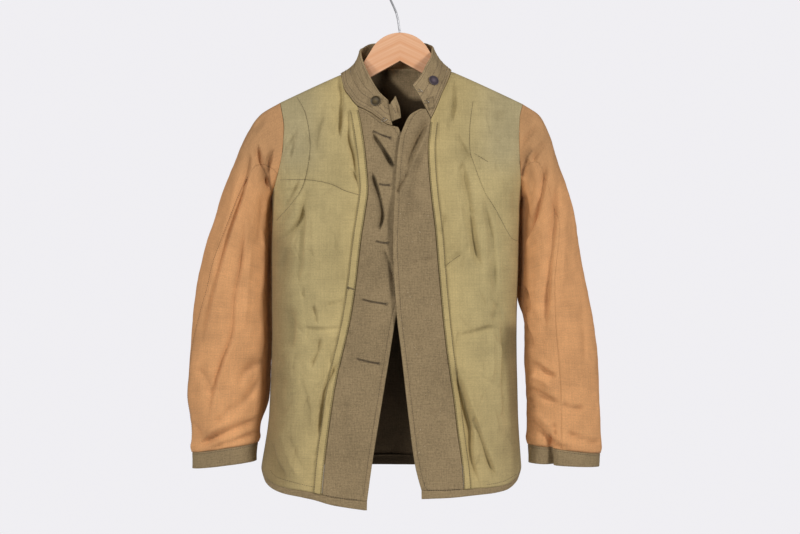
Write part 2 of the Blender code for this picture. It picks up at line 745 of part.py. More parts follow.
def sleeve_wall(side, along, turn, thick):
    """Outer and inner grids of a sleeve patch."""
    step = SLEEVE_STEP
    by_turn = sleeve_point(side, along, turn + step) - sleeve_point(side, along, turn - step)
    by_along = sleeve_point(side, along + step, turn) - sleeve_point(side, np.maximum(along - step, 0), turn)
    normal = np.cross(by_turn, by_along)
    normal /= np.linalg.norm(normal, axis=-1, keepdims=True)
    outer = sleeve_point(side, along, turn)
    middle = (sleeve_point(side, along, turn * 0) + sleeve_point(side, along, turn * 0 + math.pi)) / 2
    outward = np.sign((normal * (outer - middle)).sum(-1).sum())
    return outer, outer - outward * thick * normal


def sleeve(side):
    start = ARMHOLE_GAP / SLEEVE_LONG * 2
    along = start + (SLEEVE_END - start) * np.linspace(0, 1, SLEEVE_ROWS + 1) ** SLEEVE_ROW_GROWTH
    gap = SEAM_GAP / SLEEVE_GIRTH_RADIUS
    for part, begin, end in (
        ("sleeve_under_", SEAM_FRONT, SEAM_BACK),
        ("sleeve_upper_", SEAM_BACK - 2 * math.pi, SEAM_FRONT),
    ):
        turn = np.linspace(begin + gap, end - gap, SLEEVE_COLUMNS + 1)
        outer, inner = sleeve_wall(side, along[:, None] + 0 * turn, turn + 0 * along[:, None], SLEEVE_WALL)
        wall(part + side, outer, inner, TAN_COTTON)
    along = np.linspace(CUFF_START, 1.0, CUFF_ROWS + 1)
    turn = np.linspace(0, 2 * math.pi, CUFF_COLUMNS, endpoint=False)
    outer, inner = sleeve_wall(side, along[:, None] + 0 * turn, turn + 0 * along[:, None], CUFF_WALL)
    wall("cuff_" + side, outer, inner, BROWN_WOOL, wraps=True)


def collar_lines():
    """Foot and rim of the collar, from its left end round the back to its right end."""
    foot, rim = [], []
    for rows, face in ((COLLAR_LEFT, "left"), (COLLAR_BACK, "back"), (COLLAR_RIGHT, "right")):
        count = len(next(iter(rows.values())))
        rows = {**rows, "s": np.arange(count, dtype=float)}
        s = np.linspace(0, count - 1, COLLAR_STEPS + 1)
        if face == "back":
            x = read(rows, "foot_x", s, by="s")
            z = back_neck_z(x)
        else:
            z = read(rows, "foot_z", s, by="s")
            x = read(NECKLINES[face], "x", z)
        foot.append(place(face, x, z, COLLAR_WALL / 2))
        rim.append(np.stack([read(rows, key, s, by="s") for key in ("rim_x", "rim_y", "rim_z")], -1))
    return np.concatenate(foot), np.concatenate(rim)


def collar():
    foot, rim = collar_lines()
    tall = np.linalg.norm(rim - foot, axis=-1)
    grid = []
    for share in np.linspace(0, 1, COLLAR_RISE_STEPS + 1):
        rise = COLLAR_GAP / tall + (1 - COLLAR_GAP / tall) * share
        grid.append(foot + (rim - foot) * rise[:, None])
    grid = np.array(grid)
    normal = np.cross(np.gradient(grid, axis=1), np.gradient(grid, axis=0))
    normal /= np.linalg.norm(normal, axis=-1, keepdims=True)
    centre = grid.mean((0, 1))
    normal *= np.sign((normal * (grid - centre)).sum(-1).sum())
    bulge = COLLAR_BULGE * np.sin(np.linspace(0, math.pi, COLLAR_RISE_STEPS + 1))
    grid = grid + bulge[:, None, None] * normal
    wall("collar", grid, grid - COLLAR_WALL * normal, BROWN_WOOL)
    return grid, normal


def collar_tab(grid):
    """The folded end of the collar stand, beside its left end."""
    end = grid[:, 0]
    rises = np.linspace(TAB["rise"][0], TAB["rise"][-1], TAB_STEPS + 1)
    rows = []
    for rise in rises:
        at = rise * COLLAR_RISE_STEPS
        low = min(int(at), COLLAR_RISE_STEPS - 1)
        start = end[low] + (end[low + 1] - end[low]) * (at - low)
        stop = np.array([read(TAB, key, rise, by="rise") for key in ("right_x", "right_y", "right_z")])
        way = (stop - start) / np.linalg.norm(stop - start)
        rows.append(np.linspace(start + way * SEAM_GAP, stop, TAB_STEPS + 1))
    outer = np.array(rows)
    normal = np.cross(np.gradient(outer, axis=1), np.gradient(outer, axis=0))
    normal /= np.linalg.norm(normal, axis=-1, keepdims=True)
    normal *= -np.sign(normal[..., 1:2])
    wall("collar_tab", outer, outer - TAB_WALL * normal, BROWN_WOOL)


def turned(name, profile, radius, origin, axis, recipe):
    """A profile turned about an axis with the Screw modifier."""
    mesh = bpy.data.meshes.new(name)
    points = [(out * radius, 0.0, up * radius) for out, up in zip(profile["out"], profile["up"])]
    mesh.from_pydata(points, [(i, i + 1) for i in range(len(points) - 1)], [])
    part = add_part(name, mesh, recipe)
    spin = part.modifiers.new("turn", "SCREW")
    spin.steps = spin.render_steps = BUTTON_SEGMENTS
    spin.use_merge_vertices = True
    spin.merge_threshold = PROFILE_WELD_FAR
    spin.use_normal_calculate = True
    lean = bpy.context.evaluated_depsgraph_get()
    solid = bpy.data.meshes.new_from_object(part.evaluated_get(lean))
    part.modifiers.clear()
    part.data = solid
    shape = bmesh.new()
    shape.from_mesh(solid)
    bmesh.ops.remove_doubles(shape, verts=shape.verts, dist=PROFILE_WELD_FAR)
    facing = axis_matrix(axis)
    for vert in shape.verts:
        vert.co = (np.array(origin) + facing @ np.array(vert.co)).tolist()
    bmesh.ops.recalc_face_normals(shape, faces=shape.faces)
    shape.to_mesh(solid)
    shape.free()


def axis_matrix(axis):
    """Turns local Z onto an axis."""
    side = np.cross((0.0, 0.0, 1.0), axis)
    side /= np.linalg.norm(side)
    return np.stack([side, np.cross(axis, side), axis], 1)


def collar_buttons(grid, normal):
    for side, (column, row, radius) in BUTTONS.items():
        axis = normal[row, column]
        origin = grid[row, column] + axis * LAYER_GAP
        turned("collar_button_" + side, BUTTON_PROFILE, radius, origin, axis, COMPOSITION)


def board_outline():
    """The whole outline of the hanger board, anticlockwise from the middle of the arch."""
    arch = []
    for turn in np.linspace(0, BOARD_ARCH_TURN, BOARD_ARCH_STEPS + 1):
        rise = BOARD_TOP_Z - BOARD_ARCH_RADIUS * (1 - math.cos(turn))
        arch.append((BOARD_ARCH_RADIUS * math.sin(turn), rise))
    half = arch
    for rows in (BOARD_ARM_TOP, BOARD_TIP, BOARD_ARM_BOTTOM):
        half = half + list(zip(rows["x"], rows["z"]))
    return half + [(0.0, BOARD_BOTTOM_Z)] + [(-x, z) for x, z in half[:0:-1]]


def flat_curve(name, points, half_thick):
    """A filled outline in the XZ plane with a thickness along Y."""
    curve = bpy.data.curves.new(name, "CURVE")
    curve.dimensions = "2D"
    curve.fill_mode = "BOTH"
    curve.extrude = half_thick
    line = curve.splines.new("POLY")
    line.points.add(len(points) - 1)
    for point, (x, z) in zip(line.points, points):
        point.co = (x, z, 0.0, 1.0)
    line.use_cyclic_u = True
    return curve


def curve_mesh(name, curve):
    """The mesh of a curve, welded into one closed body."""
    drawn = bpy.data.objects.new(name + "_curve", curve)
    collection.objects.link(drawn)
    view = bpy.context.evaluated_depsgraph_get()
    mesh = bpy.data.meshes.new_from_object(drawn.evaluated_get(view))
    bpy.data.objects.remove(drawn, do_unlink=True)
    shape = bmesh.new()
    shape.from_mesh(mesh)
    bmesh.ops.remove_doubles(shape, verts=shape.verts, dist=WELD_FAR)
    bmesh.ops.recalc_face_normals(shape, faces=shape.faces)
    shape.to_mesh(mesh)
    shape.free()
    mesh.name = name
    return mesh


def hanger():
    mesh = curve_mesh("hanger_board", flat_curve("hanger_board", board_outline(), BOARD_HALF_THICK))
    for vert in mesh.vertices:
        vert.co = (vert.co.x, -vert.co.z, vert.co.y)
    board = add_part("hanger_board", mesh, LIGHT_WOOD)
    edge = board.modifiers.new("rounded_edges", "BEVEL")
    edge.width = BOARD_EDGE
    edge.segments = BOARD_EDGE_SEGMENTS
    edge.limit_method = "ANGLE"
    edge.angle_limit = math.radians(60)

    drill = bpy.data.meshes.new("hook_hole")
    shape = bmesh.new()
    deep = BOARD_TOP_Z - HOLE_BOTTOM_Z
    bmesh.ops.create_cone(
        shape, cap_ends=True, segments=HOLE_SEGMENTS, radius1=HOLE_RADIUS, radius2=HOLE_RADIUS, depth=2 * deep
    )
    for vert in shape.verts:
        vert.co.z += BOARD_TOP_Z
    shape.to_mesh(drill)
    shape.free()
    cutter = bpy.data.objects.new("hook_hole", drill)
    cutter.display_type = "WIRE"
    cutter.hide_render = True
    cutters.objects.link(cutter)
    hole = board.modifiers.new("hook_hole", "BOOLEAN")
    hole.operation = "DIFFERENCE"
    hole.object = cutter
    hole.solver = "EXACT"

    path = [(x, z) for x, z in zip(HOOK_STEM["x"], HOOK_STEM["z"])]
    for turn in np.linspace(HOOK_TURN_FROM, HOOK_TURN_TO, HOOK_STEPS + 1):
        path.append((HOOK_RADIUS * math.cos(turn), HOOK_CENTRE_Z + HOOK_RADIUS * math.sin(turn)))
    wire = bpy.data.curves.new("hanger_hook", "CURVE")
    wire.dimensions = "3D"
    wire.bevel_depth = WIRE_RADIUS
    wire.bevel_resolution = 2
    wire.use_fill_caps = True
    line = wire.splines.new("POLY")
    line.points.add(len(path) - 1)
    for point, (x, z) in zip(line.points, path):
        point.co = (x, 0.0, z, 1.0)
    add_part("hanger_hook", curve_mesh("hanger_hook", wire), STEEL)


hem("hem_back", "back", back_panels())
for each_side in ("left", "right"):
    lower_edge = np.concatenate([front_facing(each_side)[::-1], front_lining(each_side)])
    hem("hem_" + each_side, each_side, lower_edge)
    sleeve(each_side)
collar_grid, collar_normal = collar()
collar_tab(collar_grid)
collar_buttons(collar_grid, collar_normal)
hanger()
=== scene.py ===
# %% [markdown]
# A military service jacket hangs inside out on a wooden hanger, so what shows is its cotton
# lining, with wool only on the facings, collar, cuffs and hem. This lesson dresses the packed
# solids: each cloth wall is made again as a fine sheet on the same sections, with its creases,
# seams and weave. The frame is loaded first and never moved, and its box is kept for the end.

import math

import bpy
import numpy as np
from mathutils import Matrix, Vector
from mathutils.bvhtree import BVHTree


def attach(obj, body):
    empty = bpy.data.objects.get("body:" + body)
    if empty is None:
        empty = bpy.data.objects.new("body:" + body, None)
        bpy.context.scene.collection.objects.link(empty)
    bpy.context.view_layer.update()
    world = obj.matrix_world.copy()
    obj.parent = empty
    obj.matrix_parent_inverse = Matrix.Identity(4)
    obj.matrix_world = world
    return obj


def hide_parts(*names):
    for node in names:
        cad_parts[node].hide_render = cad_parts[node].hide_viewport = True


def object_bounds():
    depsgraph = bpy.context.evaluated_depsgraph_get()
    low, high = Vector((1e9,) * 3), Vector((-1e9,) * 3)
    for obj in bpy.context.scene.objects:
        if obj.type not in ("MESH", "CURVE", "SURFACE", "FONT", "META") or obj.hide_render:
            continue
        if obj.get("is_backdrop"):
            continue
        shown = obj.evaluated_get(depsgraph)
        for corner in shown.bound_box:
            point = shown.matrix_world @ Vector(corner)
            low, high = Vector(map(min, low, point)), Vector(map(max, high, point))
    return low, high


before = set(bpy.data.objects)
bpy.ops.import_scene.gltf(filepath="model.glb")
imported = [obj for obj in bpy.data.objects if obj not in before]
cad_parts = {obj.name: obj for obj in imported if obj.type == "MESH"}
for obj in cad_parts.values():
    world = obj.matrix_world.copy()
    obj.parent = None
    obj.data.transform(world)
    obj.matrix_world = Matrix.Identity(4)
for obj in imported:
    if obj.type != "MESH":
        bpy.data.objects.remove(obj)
cad_low, cad_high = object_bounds()
bpy.ops.object.select_all(action="DESELECT")
print("nodes", len(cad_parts), "box", [round(v, 3) for v in cad_high - cad_low])

# %% [markdown]
# The camera stands level in front of the jacket, as in the photograph. With its distance and the
# size of one pixel known, any place in the photograph can be turned into a line through the
# frame, and any point of the frame into a pixel. Creases and stitches are placed that way.

# %% Camera
PHOTO_WIDE, PHOTO_TALL = 800, 534
PIXEL = 0.0016  # metres across one pixel in the plane of the side seams
CAMERA_FAR = 2.6
CAMERA_Z = -0.4694
SENSOR = 36.0
MM = 0.001

bpy.ops.object.camera_add(location=(0, -CAMERA_FAR, CAMERA_Z), rotation=(math.pi / 2, 0, 0))
camera = bpy.context.object
camera.data.sensor_width = SENSOR
camera.data.lens = SENSOR * CAMERA_FAR / (PHOTO_WIDE * PIXEL)
bpy.context.scene.camera = camera


def photo_pixel(point):
    """Column and row of the photograph at which points of the frame are seen."""
    size = PIXEL * (CAMERA_FAR + point[..., 1]) / CAMERA_FAR
    return PHOTO_WIDE / 2 + point[..., 0] / size, PHOTO_TALL / 2 - (point[..., 2] - CAMERA_Z) / size


print("lens", round(camera.data.lens, 2))

# %% [markdown]
# The light is plain and soft: a large lamp on each side in front, a weak one left of the camera
# that reaches into the neck, one behind for the back, and a pale world. The floor is a pale disc
# under the hanging jacket. The view transform is Standard, so a cloth's base colour comes out near
# the colour that was judged.

# %% Light and floor
FLOOR_DROP = 0.16  # the jacket hangs this far above the floor
FLOOR_Z = cad_low.z - FLOOR_DROP
FLOOR_RADIUS, FLOOR_THICK, FLOOR_SIDES = 0.58, 0.02, 96
FLOOR_TONE = (0.8, 0.8, 0.82, 1)
SKY_TONE, SKY_STRENGTH = (0.83, 0.82, 0.86, 1), 0.12  # the world as it lights the jacket
SEEN_TONE, SEEN_STRENGTH = (0.87, 0.86, 0.89, 1), 1.0  # the world as it shows behind the jacket
LAMPS = {  # place, size in metres, power in watts
    "lamp_left": ((-2.15, -1.75, 0.50), 0.6, 31.0),
    "lamp_right": ((2.15, -1.75, 0.50), 0.6, 45.0),
    "lamp_front": ((-0.95, -2.45, 0.05), 0.6, 15.0),
    "lamp_back": ((0.40, 2.50, 0.60), 1.2, 30.0),
}
for lamp_name, (spot, lamp_size, power) in LAMPS.items():
    bpy.ops.object.light_add(type="AREA", location=spot)
    lamp = bpy.context.object
    lamp.name = lamp_name
    lamp.data.size = lamp_size
    lamp.data.energy = power
    aim = Vector((0, 0, CAMERA_Z)) - Vector(spot)
    lamp.rotation_euler = aim.to_track_quat("-Z", "Y").to_euler()

world = bpy.data.worlds.new("pale_room")
world.use_nodes = True
bpy.context.scene.world = world
sky = world.node_tree.nodes["Background"]
sky.inputs["Color"].default_value = SKY_TONE
sky.inputs["Strength"].default_value = SKY_STRENGTH
seen = world.node_tree.nodes.new("ShaderNodeBackground")
seen.inputs["Color"].default_value = SEEN_TONE
seen.inputs["Strength"].default_value = SEEN_STRENGTH
ray = world.node_tree.nodes.new("ShaderNodeLightPath")
mix = world.node_tree.nodes.new("ShaderNodeMixShader")
world.node_tree.links.new(ray.outputs["Is Camera Ray"], mix.inputs["Fac"])
world.node_tree.links.new(sky.outputs[0], mix.inputs[1])
world.node_tree.links.new(seen.outputs[0], mix.inputs[2])
world.node_tree.links.new(mix.outputs[0], world.node_tree.nodes["World Output"].inputs["Surface"])
bpy.context.scene.view_settings.view_transform = "Standard"

bpy.ops.mesh.primitive_cylinder_add(
    vertices=FLOOR_SIDES, radius=FLOOR_RADIUS, depth=FLOOR_THICK, location=(0, 0, FLOOR_Z)
)
floor = bpy.context.object
floor.name = "floor"
pale = bpy.data.materials.new("pale_floor")
pale.use_nodes = True
pale.node_tree.nodes["Principled BSDF"].inputs["Base Color"].default_value = FLOOR_TONE
floor.data.materials.append(pale)
floor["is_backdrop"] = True
print("lamps", len(LAMPS), "floor at", round(FLOOR_Z, 3))

# %% [markdown]
# A jacket is cut from flat pieces, and each hangs from the shoulder seam or the armhole. Short
# tables hold the sections that the solids were made from: how wide the body is at each height,
# how far the cloth stands off the seam plane below the shoulder, and where the edges run. They
# are read with a smooth curve that never overshoots, so the fine sheets lie on the solids.

# %% Tables of the body's sections
def table(columns, *rows):
    """A short table as {column name: array}."""
    return dict(zip(columns.split(), np.array(rows, float).T))


SEAM_GAP = 0.0004  # between two pieces that are sewn edge to edge
LAYER_GAP = 0.0003  # between two layers that lie on each other
HEM_GAP = 0.0006  # between a panel and its hem
WALLS = {  # thickness of each piece in metres
    "front": 0.0022, "back": 0.0012, "shell": 0.0020, "facing": 0.0024, "band": 0.0012,
    "hem": 0.0026, "sleeve": 0.0020, "cuff": 0.0028, "collar": 0.0030, "tab": 0.0020,
}

SHOULDER_APEX_Z = -0.1095
SHOULDER_SLOPE = 0.49
NECK_ROUNDING = 0.050
ARMPIT_Z = -0.356
HEM_Z = -0.791
HEM_START_Z = -0.550
MIRROR = {"left": -1.0, "right": 1.0}  # sign of x on each side
SIDES = table(
    "z left right",
    (-0.150, -0.2050, 0.2070),
    (-0.282, -0.2060, 0.2050),
    (-0.356, -0.2045, 0.1940),
    (-0.380, -0.2040, 0.1915),
    (-0.450, -0.2055, 0.1900),
    (-0.570, -0.2050, 0.1865),
    (-0.700, -0.2090, 0.1885),
    (-0.791, -0.2220, 0.1940),
)
FLANK_POWER, FLANK_ROUNDING = 5.0, 0.5  # how squarely the cloth turns in to the side seam
DRAPE = table(  # how far the cloth stands off the seam plane
    "below front back",
    (0.000, 0.0000, 0.0000),
    (0.004, 0.0100, 0.0100),
    (0.020, 0.0200, 0.0180),
    (0.060, 0.0370, 0.0290),
    (0.150, 0.0620, 0.0400),
    (0.300, 0.0810, 0.0450),
    (0.450, 0.0890, 0.0470),
    (0.720, 0.0950, 0.0500),
)
DRAPE["root"] = np.sqrt(DRAPE["below"])
# fullness round the neck: how far out, half its width, its place and half its height
NECK_SWELL, NECK_SWELL_X, NECK_SWELL_Z, NECK_SWELL_TALL = 0.030, 0.070, -0.170, 0.080
RIDGE_HOLD = 0.012  # metres over which the cloth comes free of the shoulder seam
# the right front laps the left: how far each moves, and where that starts and is full
LAP_OUT, LAP_IN, LAP_START, LAP_FULL = 0.004, -0.002, 0.090, 0.020

ARMHOLES = {
    "left": table(
        "z x", (-0.2062, -0.1910), (-0.250, -0.1840), (-0.282, -0.1855), (-0.330, -0.1955), (-0.356, -0.2045)
    ),
    "right": table(
        "z x", (-0.2086, 0.1960), (-0.231, 0.1904), (-0.266, 0.1888), (-0.314, 0.1905), (-0.356, 0.1940)
    ),
}
NECKLINES = {
    "left": table(
        "z x",
        (-0.1619, -0.0945), (-0.187, -0.0887), (-0.2017, -0.0790), (-0.2157, -0.0680),
        (-0.227, -0.0470), (-0.238, -0.0314), (-0.2466, -0.0204), (-0.251, -0.0030),
    ),
    "right": table(
        "z x", (-0.1567, 0.0824), (-0.178, 0.0744), (-0.196, 0.0663), (-0.224, 0.0550), (-0.238, 0.0482)
    ),
}
FRONT_EDGES = {
    "left": table(
        "z x",
        (-0.251, -0.0030), (-0.270, 0.0063), (-0.342, 0.0171), (-0.428, 0.0171), (-0.505, 0.0046),
        (-0.548, -0.0062), (-0.621, -0.0185), (-0.698, -0.0310), (-0.776, -0.0433), (-0.845, -0.0526),
    ),
    "right": table(
        "z x",
        (-0.2198, 0.0377), (-0.226, 0.0250), (-0.2325, 0.0157), (-0.2497, 0.0063), (-0.267, 0.0000),
        (-0.302, -0.0047), (-0.381, -0.0093), (-0.435, -0.0109), (-0.505, -0.0077), (-0.548, -0.0046),
        (-0.598, 0.0015), (-0.706, 0.0139), (-0.775, 0.0232), (-0.827, 0.0370),
    ),
}
LINING_EDGES = {
    "left": table(
        "z x",
        (-0.2165, -0.0668), (-0.243, -0.0613), (-0.305, -0.0530), (-0.349, -0.0500), (-0.384, -0.0543),
        (-0.429, -0.0610), (-0.504, -0.0697), (-0.548, -0.0766), (-0.655, -0.1005), (-0.703, -0.1080),
        (-0.774, -0.1167), (-0.819, -0.1206),
    ),
    "right": table(
        "z x",
        (-0.238, 0.0482), (-0.285, 0.0437), (-0.345, 0.0475), (-0.417, 0.0559), (-0.476, 0.0604),
        (-0.553, 0.0673), (-0.602, 0.0727), (-0.667, 0.0827), (-0.726, 0.0897), (-0.785, 0.0974),
        (-0.814, 0.0990),
    ),
}
FACING_TOP = {"left": -0.2185, "right": -0.2225}
FACING_CORNER = table("z x", (-0.2198, 0.0388), (-0.2380, 0.0480))
BAND_TOP = {"left": -0.222, "right": -0.242}
BAND_WIDTH = {"left": 0.013, "right": 0.011}
NARROW_SHARE = 0.3  # most of a panel's width that its band may take
SAG = table(  # how far the hem hangs below its sides
    "share left right",
    (1.00, 0.000, 0.000),
    (0.95, 0.018, 0.016),
    (0.85, 0.028, 0.027),
    (0.60, 0.037, 0.032),
    (0.42, 0.047, 0.035),
    (0.20, 0.054, 0.036),
)
HEM_TALL_SIDE = 0.008
HEM_TALL_FRONT = 0.015
BACK_NECK_RISE = 0.0085
print("hem from", HEM_Z, "to", round(HEM_Z - SAG["left"].max(), 3))

# %% [markdown]
# Cloth never hangs smooth. Each main crease is a line of a few pixels of the photograph, with its
# half width and depth in millimetres: below zero for a trough, above for a ridge. A lean lifts
# one side of the line and sinks the other, as a fold that lies over.

# %% Creases of the body
CREASES = {}  # half width mm, depth mm, lean mm, then the line
CREASES["left"] = [
    (3.5, -6, 2.5, (341, 72), (342, 100), (341, 124), (340, 142)),
    (3, -5, 1.5, (349, 100), (349.5, 124), (350, 140), (354.5, 156), (357, 174), (361, 196)),
    (2.5, -2.5, 0.8, (349, 167), (354, 172), (359, 182)),
    (6, 2.5, 0, (347, 98), (349, 122), (348, 140)),
    (8, -2, 1, (325, 110), (318, 134), (316, 156)),
    (3.5, -3, 1, (280, 156), (285, 147), (292, 136), (300, 124)),
    (5, -6, 2.5, (274, 243), (286, 234), (296, 222), (302, 207), (306, 186)),
    (8, 3, 0, (277, 229), (287, 220), (295, 207), (299, 192)),
    (3, -3.5, 1.2, (300, 178), (293, 193), (284, 210)),
    (5, -4, 2, (306, 186), (302, 205), (303, 222), (302, 253), (297, 290)),
    (8, -3.5, -1, (287, 243), (282, 262), (281, 284)),
    (10, 2, 0, (312, 210), (314, 250), (310, 290)),
    (11, -6, 2, (292, 305), (292, 334), (290, 352)),
    (3, -3, 0.8, (313, 304), (316, 313), (317, 324)),
    (3.5, -2.5, 1.2, (300, 327), (316, 328.5), (330, 328), (342, 327)),
    (4, -3.5, 1, (321, 336), (318, 351), (310, 370)),
    (2.5, -2.2, 0.6, (326, 305), (335, 302.5), (344, 301)),
    (3.5, -6, 1.5, (341, 356), (331, 378), (325, 392), (322, 414), (319, 446)),
    (6, 2.5, 0, (333, 360), (323, 384), (317, 410)),
    (7, 3.5, 0, (277, 424), (287, 455), (301, 480)),
    (6, -4.5, 1, (271, 440), (278, 464), (288, 480)),
    (6, -1.2, 0.5, (288, 430), (297, 456), (308, 474)),
    (9, -3, 0, (283, 372), (280, 396), (282, 420)),
    (7, -1.2, 0.6, (302, 380), (309, 408), (309, 430)),
    (2.2, -6, 4.5, (372, 131), (381, 144), (390, 159), (395, 170)),
    (2.2, -6, 4, (371, 168), (378, 188), (383, 209), (383, 220), (378, 234)),
    (2.2, -3, 1.5, (380, 244), (391, 267), (394, 288), (395, 303)),
    (8, -1.5, 0, (362, 260), (360, 285)),
    (7, -1.5, 0, (352, 330), (347, 352)),
    (6, -1.2, 0, (340, 405), (352, 407), (362, 404)),
    (6, -1.2, 0, (336, 455), (348, 459), (360, 457)),
]
CREASES["right"] = [
    (5, -5, -1.5, (455, 78), (454, 103), (452, 124)),
    (6, 2, 0, (447, 92), (446, 118), (445, 140)),
    (5, -3.5, 1, (455, 130), (465, 148), (473, 164)),
    (7, -7.5, 1.5, (460, 156), (466, 178), (470, 203), (476, 242), (484, 279)),
    (7, 2.5, 0, (455, 178), (460, 208), (466, 240)),
    (5, -4.5, 1, (484, 200), (489, 218), (494, 240), (496, 268), (497, 298)),
    (9, -4.5, 0, (501, 106), (500, 118), (499, 132)),
    (7, -3, 0, (489, 90), (493, 98), (504, 104)),
    (5, -3.5, 0, (513, 188), (515, 204), (513, 220)),
    (4, -2, 0.5, (446, 212), (441, 238)),
    (5, -2.5, 0.8, (464, 251), (452, 262), (442, 270)),
    (8, 2, 0, (476, 180), (483, 214), (489, 250)),
    (5, -3.5, 1, (455, 335), (472, 332), (490, 327), (502, 331)),
    (6, -3, 0, (498, 302), (493, 322)),
    (6, -3, -6, (501, 318), (502, 352), (501, 380), (504, 424)),
    (6, 3, 0, (492, 336), (493, 360), (490, 386)),
    (6, -10, 3, (450, 356), (462, 390), (469, 415), (472, 430), (472, 454), (479, 482), (484, 492)),
    (6, 3, 0, (460, 372), (469, 396), (477, 418), (480, 440)),
    (4, -6, 2.5, (472, 410), (479, 430), (487, 452), (499, 482)),
    (8, -2.5, 0, (507, 400), (508, 440), (505, 470)),
    (4.5, -6, 3, (431, 116), (423, 133), (414, 152), (407, 172)),
    (6, 4, 0, (430, 126), (421, 146), (412, 166), (406, 182)),
    (3, -4.5, 1.5, (410, 170), (403, 182), (396, 196)),
    (9, -3, 0, (424, 150), (416, 175), (410, 205), (406, 235)),
    (5, -1.5, 0.8, (409, 263), (422, 260), (437, 257)),
    (7, -1.5, 0, (413, 330), (420, 348), (421, 366)),
    (6, -1.2, 0, (427, 410), (438, 414), (450, 412)),
]
CREASES["back"] = [
    (9, -5, 1, (325, 142), (338, 190), (345, 270)),
    (9, -6, -1, (466, 145), (458, 220), (452, 300)),
    (10, -5, 1, (388, 240), (380, 330), (369, 450)),
    (9, -5.5, 1, (480, 320), (486, 390), (488, 460)),
    (9, -5, -1, (300, 300), (308, 380), (312, 455)),
    (7, -3.5, 1, (412, 330), (424, 400), (428, 458)),
    (6, -3, 0.5, (290, 190), (304, 214), (312, 250)),
    (6, -3, 0.5, (510, 200), (498, 226), (492, 262)),
    (8, 2.5, 0, (352, 330), (346, 400), (342, 450)),
]
print("main creases", {face: len(rows) for face, rows in CREASES.items()})

# %% [markdown]
# Folds could be sculpted by hand, but a formula keeps each crease on its line and lets all the
# sheets of a front share it. The distance from the line gives the trough, a leaning crease adds a
# step, and both run out softly at their ends. Slow noise in real sizes adds the waves between them.

# %% How a crease bends the cloth
NOISE_CELLS = 64


def smooth(share):
    share = np.clip(share, 0.0, 1.0)
    return share * share * (3 - 2 * share)


def bell(off):
    """1 in the middle, falling off softly to both sides."""
    return np.exp(-(off**2))


def shares(count):
    """Even steps from 0 to 1."""
    return np.linspace(0, 1, count + 1)


def cloth_noise(u, v, size, seed):
    """Slow noise from -1 to 1, on cells of one size in metres."""
    lattice = np.random.default_rng(seed).uniform(-1, 1, (NOISE_CELLS, NOISE_CELLS))
    i, j = np.floor(u / size), np.floor(v / size)
    s, t = smooth(u / size - i), smooth(v / size - j)
    i, j = i.astype(int) % NOISE_CELLS, j.astype(int) % NOISE_CELLS
    k, m = (i + 1) % NOISE_CELLS, (j + 1) % NOISE_CELLS
    low = lattice[i, j] * (1 - s) + lattice[k, j] * s
    high = lattice[i, m] * (1 - s) + lattice[k, m] * s
    return low * (1 - t) + high * t


def off_line(path, across, down):
    """Signed distance from a line of pixels, to its right, and the share of the way along it."""
    path = np.array(path, float)
    steps = np.hypot(*np.diff(path, axis=0).T)
    nearest = np.full(across.shape, np.inf)
    signed, share = np.zeros(across.shape), np.zeros(across.shape)
    for start, stop, length, before in zip(path, path[1:], steps, np.cumsum(steps) - steps):
        way = (stop - start) / length
        along = np.clip((across - start[0]) * way[0] + (down - start[1]) * way[1], 0, length)
        off_x = across - start[0] - along * way[0]
        off_y = down - start[1] - along * way[1]
        far = np.hypot(off_x, off_y)
        closer = far < nearest
        nearest = np.where(closer, far, nearest)
        signed = np.where(closer, np.where(off_x * way[1] - off_y * way[0] > 0, far, -far), signed)
        share = np.where(closer, (before + along) / steps.sum(), share)
    return signed, share


CREASE_RUNOUT = 0.25  # share of a crease's length over which it comes and goes
CREASE_REACH = 3.5  # half widths beyond which a crease does nothing
CREASE_ROUNDING = 0.35  # half widths over which the bottom of a trough is round
CREASE_STEEP, CREASE_SLOW = 0.62, 1.45  # a leaning crease is narrower on one side than on the other
CREASE_EVEN, CREASE_VARY, CREASE_WAVES = 0.85, 0.25, 9  # strength along a crease: mean, change, radians
TROUGH_FALL = 1.6  # how fast a trough flattens out beside its line
STEP_STEEP, STEP_FADE = 2.2, 1.8  # how steep a leaning crease's step is, and its reach
LINE_WIDE = 0.5  # half widths of a trough's line of painted shade
LINE_DEPTH = 4.0  # depth in millimetres at which that line's painted shade is full
BEND_STEPS = 4  # pieces of a bend between two points


def rounded(path):
    """A line of pixels bent smoothly through its points."""
    path = np.array(path, float)
    ends = np.vstack([2 * path[0] - path[1], path, 2 * path[-1] - path[-2]])
    t = shares(BEND_STEPS)[:-1, None]
    bent = []
    for a, b, c, d in zip(ends, ends[1:], ends[2:], ends[3:]):
        bent.append(b + t * ((c - a) + t * ((2 * a - 5 * b + 4 * c - d) + t * (3 * b - a - 3 * c + d))) / 2)
    return np.vstack(bent + [path[-1:]])


